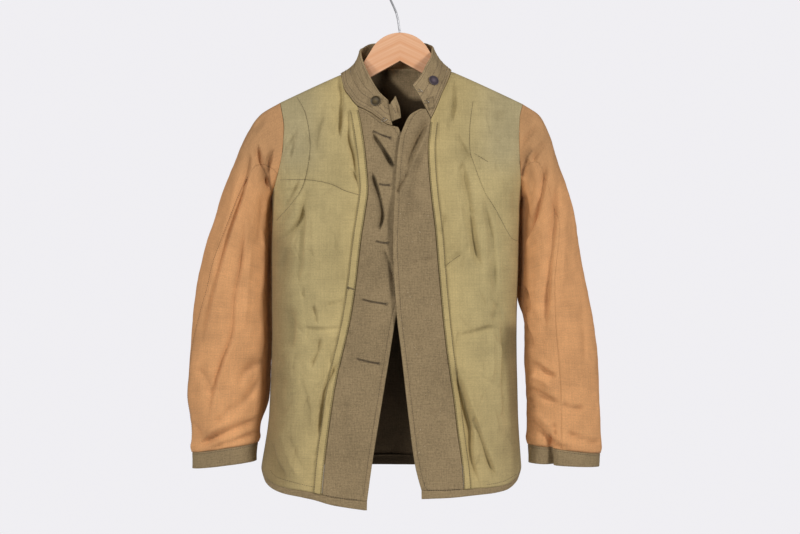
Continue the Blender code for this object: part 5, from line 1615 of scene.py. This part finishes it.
# %% Rows of stitches
EYE = Vector((0, -CAMERA_FAR, CAMERA_Z))
FALL_STEP = 0.5  # pixels between the points of a line that is cast
GRID_MARGIN = 0.001  # columns kept clear of the last one
THREAD = 0.00033
STITCH_LONG, STITCH_GAP = 0.0026, 0.0010
STITCH_STOPS = np.array([0.0, 0.5, 1.0])
STITCH_RISE = np.array([[-0.5], [0.8], [-0.5]])  # thread radii above the cloth at these stops
TWIST, TWIST_CONTRAST = (900.0, 3.0, 0.6), 0.3
THREAD_SHEEN = 0.1
trees = {}


def tree_of(name):
    if name not in trees:
        mesh = cloth[name].data
        corners = [vertex.co for vertex in mesh.vertices]
        trees[name] = BVHTree.FromPolygons(corners, [polygon.vertices for polygon in mesh.polygons])
    return trees[name]


def run_of(points):
    """Distance along a line at each of its points."""
    return np.concatenate([[0], np.cumsum(np.linalg.norm(np.diff(points, axis=0), axis=1))])


def fall(name, *path):
    """Points and outward directions where a line of pixels falls on a sheet."""
    bent = rounded(path)
    run = run_of(bent)
    at = np.arange(0, run[-1], FALL_STEP)
    hits = []
    for column, row in zip(np.interp(at, run, bent[:, 0]), np.interp(at, run, bent[:, 1])):
        x, z = (column - PHOTO_WIDE / 2) * PIXEL, CAMERA_Z + (PHOTO_TALL / 2 - row) * PIXEL
        aim = Vector((x, 0, z)) - EYE
        spot, normal, _, _ = tree_of(name).ray_cast(EYE, aim)
        if spot:
            hits.append((*spot, *(normal if normal.dot(aim) < 0 else -normal)))
    return np.array(hits)


def grid_line(name, columns, rows=slice(None), level=False):
    """A line down a sheet's grid at a column for each of its rows, or level along a row of it."""
    grid = faces[name]
    normals = np.zeros(len(cloth[name].data.vertices) * 3)
    cloth[name].data.vertices.foreach_get("normal", normals)
    both = np.concatenate([grid, normals[: grid.size].reshape(grid.shape)], -1)
    if level:
        both = both.swapaxes(0, 1)
    columns = np.clip(columns + np.zeros(len(both)), 0, both.shape[1] - 1 - GRID_MARGIN)
    low = columns.astype(int)
    share = (columns - low)[:, None]
    each = np.arange(len(both))
    return (both[each, low] * (1 - share) + both[each, low + 1] * share)[rows]


def between(line, run, at):
    """Points and directions of a line at given distances along it."""
    return np.stack([np.interp(at, run, column) for column in line.T], -1)


def stitch_row(line, long=STITCH_LONG, gap=STITCH_GAP):
    """Three points for every stitch along a line: in, over and out."""
    run = run_of(line[:, :3])
    row = []
    for start in np.arange(gap, run[-1] - long, long + gap):
        spot = between(line, run, start + long * STITCH_STOPS)
        row.append(spot[:, :3] + THREAD * STITCH_RISE * spot[:, 3:])
    return row


def sew(name, threads, material, radius=THREAD, taper=1.0):
    """One mesh of round threads from lists of points."""
    curve = bpy.data.curves.new(name, "CURVE")
    curve.dimensions = "3D"
    curve.bevel_depth = radius
    curve.bevel_resolution = 0
    curve.use_fill_caps = True
    for points in threads:
        spline = curve.splines.new("POLY")
        spline.points.add(len(points) - 1)
        spline.points.foreach_set("co", np.column_stack([points, np.ones(len(points))]).ravel())
        spline.points.foreach_set("radius", np.linspace(taper, 1, len(points)))
    piece = bpy.data.objects.new(name, curve)
    bpy.context.scene.collection.objects.link(piece)
    bpy.ops.object.select_all(action="DESELECT")
    piece.select_set(True)
    bpy.context.view_layer.objects.active = piece
    bpy.ops.object.convert(target="MESH")
    piece.data.materials.clear()
    piece.data.materials.append(material)
    bpy.ops.object.shade_smooth()
    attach(piece, "root")
    print(name, "threads", len(threads), "faces", len(piece.data.polygons))
    return piece


def thread(name, colour, roughness=0.75, metallic=0.0):
    """Twisted thread or wire: its colour comes and goes along it."""
    settings = {"Roughness": roughness, "Metallic": metallic, "Sheen Weight": THREAD_SHEEN}
    finish = Finish(name, settings)
    twist = finish.vary(finish.noise(finish.in_object(), *TWIST), TWIST_CONTRAST, 1.0)
    finish.surface({"Base Color": finish.times((*colour,), twist)})
    return finish.material


OLIVE_THREAD = thread("olive_thread", linear(78, 64, 38))
BROWN_THREAD = thread("brown_thread", linear(66, 52, 38))
WOOL_THREAD = thread("wool_thread", linear(92, 76, 54))
TAN_THREAD = thread("tan_thread", linear(104, 68, 40))
print("threads", [each.name for each in (OLIVE_THREAD, BROWN_THREAD, WOOL_THREAD, TAN_THREAD)])

# %% [markdown]
# Each band is stitched down along both sides, the front edges and the collar are topstitched, and
# the lining's seams show as rows of dark stitches in a shallow groove. Rows on the grid keep the
# same distance from an edge all the way, which is how a machine with a guide sews them.

# %% Stitching of the body and collar
OLIVE, TAN, WOOL = "olive_cotton", "tan_cotton", "brown_wool"  # slots of the part
BAND_INSET = 1.0  # columns from the band's edge to its stitching
EDGE_ROWS = slice(2, -2)  # rows of a facing with edge stitches
COLLAR_ROWS = (0.07, 0.17, 0.40, 0.62, 0.93)  # shares of the collar's height
SEAM_ROWS = slice(44, None)  # rows of a sleeve with seam stitches
SLEEVE_INSET = 1.0
CUFF_STITCH_ROW = 1.4
SEAM_STITCH, SHORT_STITCH = (0.0024, 0.0005), (0.002, 0.0008)  # length and gap
HEM_THREAD, TACK_THREAD = 0.00036, 0.00045
HEM_STITCH = {
    "lining_left": ((270, 470), (277, 477), (296, 483), (318, 488)),
    "facing_cloth_left": ((325, 495), (342, 498.5), (358, 500)),
    "facing_cloth_right": ((424, 482), (426, 488), (432, 491), (461, 489.5)),
    "lining_right": ((486, 485), (503, 481.5), (517, 474)),
}
BAR_TACK = (  # lines of the thick tack on the left band
    ((346.5, 287.2), (351, 288), (356.5, 290)),
    ((346.5, 288.4), (350, 288.6), (354, 290)),
    ((348.4, 286.4), (348.8, 288.5), (348.6, 290.6)),
)
SHORT_ROWS = {
    "lining_right": ((441.5, 270), (450, 262), (461, 254.5)),
    "edge_band_cloth_right": ((443, 320), (449, 320)),
}
for front in ("left", "right"):
    band, facing, lining = "edge_band_cloth_" + front, "facing_cloth_" + front, "lining_" + front
    rows = [stitch_row(grid_line(band, column)) for column in (BAND_INSET, BAND_COLUMNS - 1 - BAND_INSET)]
    sew("band_stitches_" + front, sum(rows, []), OLIVE_THREAD)
    wide = np.linalg.norm(faces[facing][:, 0] - faces[facing][:, -1], axis=-1)
    edge_row = grid_line(facing, FACING_COLUMNS * (1 - EDGE_STITCH / wide), EDGE_ROWS)
    sew("edge_stitches_" + front, stitch_row(edge_row), WOOL_THREAD)
    rows = [stitch_row(fall(lining, *line), *SEAM_STITCH) for line in SEAMS[front].values()]
    rows.append(stitch_row(fall(lining, *HEM_STITCH[lining])))
    sew("seam_stitches_" + front, sum(rows, []), OLIVE_THREAD)
    hem_row = stitch_row(fall(facing, *HEM_STITCH[facing]))
    sew("hem_stitches_" + front, hem_row, BROWN_THREAD, HEM_THREAD)
tack = [fall("edge_band_cloth_left", *line)[:, :3] for line in BAR_TACK]
sew("bar_tack", tack, BROWN_THREAD, TACK_THREAD)
rows = [stitch_row(fall(name, *line), *SHORT_STITCH) for name, line in SHORT_ROWS.items()]
sew("short_stitches", sum(rows, []), OLIVE_THREAD)

rows = [stitch_row(grid_line("collar_cloth", rise * COLLAR_RISE_STEPS, level=True)) for rise in COLLAR_ROWS]
sew("collar_stitches", sum(rows, []), WOOL_THREAD)
SEAM_COLUMNS = {"left": (SLEEVE_INSET, SLEEVE_COLUMNS - SLEEVE_INSET), "right": (SLEEVE_INSET,)}
for arm, seam_columns in SEAM_COLUMNS.items():
    rows = [stitch_row(grid_line("sleeve_upper_cloth_" + arm, column, SEAM_ROWS)) for column in seam_columns]
    sew("sleeve_stitches_" + arm, sum(rows, []), TAN_THREAD)
    cuff_row = stitch_row(grid_line("cuff_cloth_" + arm, CUFF_STITCH_ROW, level=True))
    sew("cuff_stitches_" + arm, cuff_row, WOOL_THREAD)

# %% [markdown]
# The left facing has five buttonholes. Each is a cut slit with a small round eyelet at the end by
# the front edge, and close stitches over both lips keep the wool from fraying. The shade in the slit
# and the eyelet is painted as a dark thread sunk into the cloth, and the overcasting is a comb of
# short stitches across it.

# %% Buttonholes
BUTTONHOLES = [  # the slit's two ends, in pixels, the eyelet at the second
    ((373, 131), (391, 138)),
    ((379, 184), (390, 185)),
    ((376, 241), (388, 243)),
    ((363, 299.5), (387, 304)),
    ((357, 358.7), (379, 363.5)),
]
TAB_SLIT = ((392.2, 106.5), (394.2, 110), (395.8, 113.5))
SLIT, SLIT_SAG, SLIT_TAPER = 0.00040, (0, 0.5), 0.3  # radius, sag in pixels, and the thin end's share
SLIT_RISE = 0.2 * SLIT
LIP, LIP_STEP, LIP_THREAD = 0.0019, 0.0011, 0.00022  # stitch length, step and radius
LIP_ARC = ((0.0002, 0.0001), (LIP / 2, 0.00045), (LIP, -0.0001))  # off the slit, and above the cloth
EYELET, EYELET_STITCHES = 0.0012, 10
EYELET_CUT, EYELET_RISE = 0.8 * EYELET, 0.3 * SLIT


def buttonhole(start, end):
    """Points of the slit, and the stitches over its lips and round its eyelet."""
    middle = (np.add(start, end) / 2 + SLIT_SAG).tolist()
    line = fall("facing_cloth_left", start, middle, end)
    run = run_of(line[:, :3])
    lips = []
    for at in np.arange(0, run[-1], LIP_STEP):
        spot = between(line, run, at)
        ahead = between(line, run, at + LIP_STEP)[:3] - spot[:3]
        ahead = ahead if np.linalg.norm(ahead) > 0 else line[-1, :3] - line[-2, :3]
        side = np.cross(spot[3:], ahead / np.linalg.norm(ahead))
        for way in (-1.0, 1.0):
            lips.append([spot[:3] + way * side * far + spot[3:] * up for far, up in LIP_ARC])
    tip, out = line[-1, :3], line[-1, 3:]
    side = np.cross(out, (0, 0, 1))
    for turn in np.linspace(0, 2 * math.pi, EYELET_STITCHES, endpoint=False):
        way = side * math.cos(turn) + np.cross(out, side) * math.sin(turn)
        lips.append([tip + way * (EYELET + far) + out * up for far, up in LIP_ARC])
    # painted shade in the slit and the eyelet, as dark thread
    slit = line[:, :3] + line[:, 3:] * SLIT_RISE
    eyelet = [tip + way * side * EYELET_CUT + out * EYELET_RISE for way in (-1.0, 1.0)]
    return [slit, eyelet], lips


slits, lips = [], []
for ends in BUTTONHOLES:
    some_slits, some_lips = buttonhole(*ends)
    slits += some_slits
    lips += some_lips
# the tab's slit gets the same painted shade
slits.append(fall("collar_tab_cloth", *TAB_SLIT)[:, :3])
SLIT_PAINTED_SHADE = thread("slit_painted_shade", linear(52, 41, 32))
sew("buttonhole_slits", slits, SLIT_PAINTED_SHADE, SLIT, taper=SLIT_TAPER)
sew("buttonhole_lips", lips, WOOL_THREAD, LIP_THREAD)

# %% [markdown]
# The collar closes with wire hooks, and one of them is sewn on under a small patch of wool. The
# patch is a little sheet laid on the collar, and a hook is a bent steel wire whose loop stands off
# the cloth. Lint and loose fibres lie on the wool as very thin pale threads.

# %% Hooks, patch and lint
PATCH_CORNERS = ((426.5, 98.5), (433.0, 96.0), (434.5, 108.0), (428.5, 110.0))
PATCH_STEPS = 10
PATCH_OUT, PATCH_THICK = 0.0011, 0.0008
PATCH_CROWN, PATCH_ROUNDING = 0.0006, 0.4  # rise of its middle, and how soon
PATCH_WIDE, PATCH_TALL = 0.011, 0.020  # of the flat cut
PATCH_BRIGHT, PATCH_WEAR_SEED = 0.95, 97
PATCH_INSET, PATCH_STITCH, PATCH_THREAD = 1.0, (0.0018, 0.0009), 0.00025
WIRE, WIRE_STEPS = 0.00042, 17
LOOP_ROUNDING, LOOP_LIFT = 0.6, 0.0014  # how blunt a hook's loop is, and how far it stands off
HOOKS = [  # sheet, place in pixels, loop length and width in metres, turn in degrees
    ("collar_cloth", (420.0, 91.0), 0.0075, 0.0040, 200),
    ("collar_cloth", (426.3, 102.0), 0.0080, 0.0042, 190),
    ("collar_cloth", (384.5, 119.5), 0.0085, 0.0042, 330),
]
LINT_SPOTS = (
    *((404, 220), (408, 292), (417, 354), (417.5, 356)),
    *((416, 355), (405, 174), (407, 236), (429, 392)),
)
LINT_SEED, LINT_SCATTER, LINT_BOX = 7, 26, ((400, 150), (440, 480))  # more lint, scattered in a box
LINT_LONG, LINT_FLAT, LINT_LIFT, LINT_THICK = 0.0009, (1, 0.1, 1), 0.0004, 0.00016


def fall_spot(name, spot):
    """The point and outward direction where one pixel falls on a sheet, if it does."""
    hits = fall(name, spot, np.add(spot, (1.0, 0)))
    return hits[0] if len(hits) else None


def collar_patch():
    """A small square of wool, laid on the collar between four corners given in pixels."""
    a, b, c, d = [np.array(p) for p in PATCH_CORNERS]
    steps = shares(PATCH_STEPS)
    rows = []
    for down in steps:
        start, stop = a + (d - a) * down, b + (c - b) * down
        rows.append([fall_spot("collar_cloth", start + (stop - start) * share) for share in steps])
    grid = np.array(rows)
    u, v = np.meshgrid(steps, steps)
    crown = PATCH_CROWN * (np.sin(math.pi * u) * np.sin(math.pi * v)) ** PATCH_ROUNDING
    outer = grid[..., :3] + grid[..., 3:] * (PATCH_OUT + crown)[..., None]
    inner = outer - grid[..., 3:] * PATCH_THICK
    cut = np.stack([u * PATCH_WIDE, v * PATCH_TALL], -1)
    flat = np.zeros_like(u)
    colours = 2 * [painted_shade_and_wear(PATCH_BRIGHT * WOOL_TONE, flat, flat, *np.moveaxis(cut, -1, 0), PATCH_WEAR_SEED)]
    cloth["collar_patch"] = sheet_mesh("collar_patch", outer, inner, cut, colours, (BROWN_WOOL,))
    faces["collar_patch"] = outer


def hook_wire(name, spot, long, wide, turn):
    """A bent wire: two legs sewn to the cloth and a round loop that stands off it."""
    at = fall_spot(name, spot)
    side = np.cross(at[3:], (0, 0, 1))
    side /= np.linalg.norm(side)
    up = np.cross(side, at[3:])
    turn = math.radians(turn)
    ahead = side * math.cos(turn) + up * math.sin(turn)
    across = np.cross(at[3:], ahead)
    wire = []
    for share in np.linspace(-1, 1, WIRE_STEPS):
        bend, swing = math.cos(share * math.pi / 2), math.sin(share * math.pi / 2)
        flat = ahead * long * (bend**LOOP_ROUNDING - 0.5) + across * wide / 2 * swing
        wire.append(at[:3] + flat + at[3:] * (WIRE + LOOP_LIFT * bend))
    return wire


collar_patch()
insets = (PATCH_INSET, PATCH_STEPS - PATCH_INSET)
rim_rows = [grid_line("collar_patch", inset, level=level) for level in (False, True) for inset in insets]
patch_rows = [stitch_row(row, *PATCH_STITCH) for row in rim_rows]
sew("patch_stitches", sum(patch_rows, []), BROWN_THREAD, PATCH_THREAD)
HOOK_STEEL = thread("hook_steel", (0.62, 0.58, 0.50), roughness=0.3, metallic=1.0)
sew("collar_hooks", [hook_wire(*hook) for hook in HOOKS], HOOK_STEEL, WIRE)

dice = np.random.default_rng(LINT_SEED)
fibres = []
for spot in [*LINT_SPOTS, *dice.uniform(*LINT_BOX, (LINT_SCATTER, 2))]:
    hit = fall_spot("facing_cloth_right", spot)
    if hit is not None:
        bends = dice.normal(0, 1, (3, 3)) * LINT_LONG * LINT_FLAT
        fibres.append(hit[:3] + bends + hit[3:] * LINT_LIFT)
LINT_PALE = thread("pale_lint", linear(226, 208, 176))
sew("lint", fibres, LINT_PALE, LINT_THICK)

# %% [markdown]
# Each sheet hangs on the root, and the solids that it stands for are hidden. A table lists each
# sheet's slot, its solids and its flat size, which is the rectangle that the piece is cut from
# before sewing.

CUTS = {  # slot, solids, flat width and length in metres
    "lining_left": (OLIVE, ("front_lining_left", "front_yoke_left"), (0.24, 0.68)),
    "lining_right": (OLIVE, ("front_lining_right",), (0.24, 0.68)),
    "edge_band_cloth_left": (OLIVE, ("edge_band_left",), (0.015, 0.62)),
    "edge_band_cloth_right": (OLIVE, ("edge_band_right",), (0.013, 0.60)),
    "facing_cloth_left": (WOOL, ("facing_left",), (0.11, 0.64)),
    "facing_cloth_right": (WOOL, ("facing_right",), (0.11, 0.64)),
    "back_cloth": (OLIVE, ("back_lining",), (0.50, 0.68)),
    "back_shell_cloth": (WOOL, ("back_shell",), (0.50, 0.68)),
    "hem_cloth_left": (WOOL, ("hem_left",), (0.23, 0.018)),
    "hem_cloth_right": (WOOL, ("hem_right",), (0.22, 0.018)),
    "hem_cloth_back": (WOOL, ("hem_back",), (0.50, 0.016)),
    "collar_cloth": (WOOL, ("collar",), (0.44, 0.058)),
    "collar_tab_cloth": (WOOL, ("collar_tab",), (0.028, 0.036)),
    "collar_patch": (WOOL, (), (0.012, 0.021)),
}
for arm in ("left", "right"):
    CUTS["sleeve_under_cloth_" + arm] = (TAN, ("sleeve_under_" + arm,), (0.20, 0.58))
    CUTS["sleeve_upper_cloth_" + arm] = (TAN, ("sleeve_upper_" + arm,), (0.24, 0.64))
    CUTS["cuff_cloth_" + arm] = (WOOL, ("cuff_" + arm,), (0.29, 0.034))


def finish_piece(piece, nodes):
    """Hangs a sheet on the root and hides the solids that it stands for."""
    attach(piece, "root")
    if nodes:
        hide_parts(*nodes)


for name, (slot, nodes, flat) in CUTS.items():
    finish_piece(cloth[name], nodes)

# %% [markdown]
# The hanger and the two buttons keep their solids and only get a finish. The hanger's wood is
# light and its grain runs along each arm, so the two halves mirror each other and meet in the
# middle. The hook is drawn steel wire and the buttons are moulded plastic.

# %% Hanger and buttons
WOOD_TONES = {"light": linear(246, 192, 150), "dark": linear(232, 166, 118)}
WOOD_SURFACE = {"Roughness": 0.48, "Coat Weight": 0.15, "Coat Roughness": 0.25}
GRAIN_SIZE = (9.0, 260.0, 260.0)  # changes along an arm, through it and across it
GRAIN, GRAIN_BUMP = (1.0, 4.0, 0.6), (0.12, 0.0004)
GRAIN_STOPS = ((0.30, "dark"), (0.68, "light"))
STEEL_TONE, STEEL_SURFACE = (0.24, 0.24, 0.25), {"Metallic": 1.0}
STEEL_DULL, STEEL_CONTRAST, STEEL_ROUGHNESS = (160.0, 4.0, 0.6), 0.25, (0.30, 0.55)
BUTTON_TONES = {"collar_button_left": linear(88, 72, 40), "collar_button_right": linear(92, 80, 88)}
BUTTON_PAINTED_LIGHT_RINGS = ((0.0, 1.5), (0.45, 1.1), (0.70, 0.45), (0.98, 0.9))  # painted light and shade round the button: share of the radius, brightness
BUTTON_SURFACE = {"Roughness": 0.34}
SCUFFS, SCUFF_CONTRAST = (700.0, 4.0, 0.65), 0.3


def light_wood(name):
    """Wood whose grain runs down each arm of the hanger."""
    finish = Finish(name, WOOD_SURFACE)
    parts = finish.node("SeparateXYZ", {0: finish.in_object()})
    arm = finish.sum("ABSOLUTE", parts.outputs["X"])
    level = finish.sum("ADD", parts.outputs["Z"], finish.sum("MULTIPLY", arm, SHOULDER_SLOPE))
    turned = finish.node("CombineXYZ", {"X": arm, "Y": parts.outputs["Y"], "Z": level}).outputs[0]
    grain = finish.noise(finish.times(turned, GRAIN_SIZE), *GRAIN)
    ramp = finish.node("ValToRGB", {"Fac": grain})
    for stop, (share, tone) in zip(ramp.color_ramp.elements, GRAIN_STOPS):
        stop.position = share
        stop.color = (*WOOD_TONES[tone], 1)
    finish.surface({"Base Color": ramp.outputs["Color"], "Normal": finish.bump(grain, *GRAIN_BUMP)})
    return finish.material


def drawn_steel(name):
    """Steel wire that has dulled unevenly."""
    finish = Finish(name, STEEL_SURFACE)
    dull = finish.noise(finish.in_object(), *STEEL_DULL)
    tone = finish.times(STEEL_TONE, finish.vary(dull, STEEL_CONTRAST, 1.0))
    finish.surface({"Base Color": tone, "Roughness": finish.spread(dull, *STEEL_ROUGHNESS)})
    return finish.material


def moulded_button(name, tone, centre, radius):
    """Plastic with painted light and shade: a paler dish, a painted dark ring round it and a painted
    highlight on the rim.
    """
    finish = Finish(name, BUTTON_SURFACE)
    where = finish.in_object()
    off = finish.node("VectorMath", {0: where, 1: centre}, operation="SUBTRACT").outputs[0]
    far = finish.node("VectorMath", {0: off}, operation="LENGTH").outputs["Value"]
    ring = finish.node("ValToRGB", {"Fac": finish.sum("DIVIDE", far, radius)})
    stops = ring.color_ramp.elements
    for stop, (share, bright) in zip([stops[0], stops[1], stops.new(0.5), stops.new(0.5)], BUTTON_PAINTED_LIGHT_RINGS):
        stop.position = share
        stop.color = (*(bright * tone), 1)
    scuffs = finish.vary(finish.noise(where, *SCUFFS), SCUFF_CONTRAST, 1.0)
    finish.surface({"Base Color": finish.times(ring.outputs["Color"], scuffs)})
    return finish.material


shown = {"hanger_board": light_wood("light_wood")}
shown["hanger_hook"] = drawn_steel("steel_wire")
for name, tone in BUTTON_TONES.items():
    corners = np.array([v.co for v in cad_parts[name].data.vertices])
    centre = (corners.min(0) + corners.max(0)) / 2
    radius = np.linalg.norm(corners - centre, axis=1).max()
    shown[name] = moulded_button(name + "_plastic", tone, centre, radius)
for name, material in shown.items():
    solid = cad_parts[name]
    for slot_place in solid.material_slots:
        slot_place.material = material
print("finished solids", sorted(shown))

# %% [markdown]
# Last, the triangles that were added are counted, and the box of everything is printed as how far it
# has grown past the solids' box, in millimetres, so the looks can be compared with the solids. Cloth
# may swell past its solid by a few millimetres, and no more.

# %% Sizes
added = [piece for piece in bpy.data.objects if piece.type == "MESH" and piece.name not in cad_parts]
counts = {piece.name: sum(len(p.vertices) - 2 for p in piece.data.polygons) for piece in added}
print("added triangles", sum(counts.values()), "most in a piece", max(counts.values()))
low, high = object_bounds()
growth = [[round(float(v) / MM, 1) for v in past] for past in (cad_low - low, high - cad_high)]
print("grown by mm", *growth)
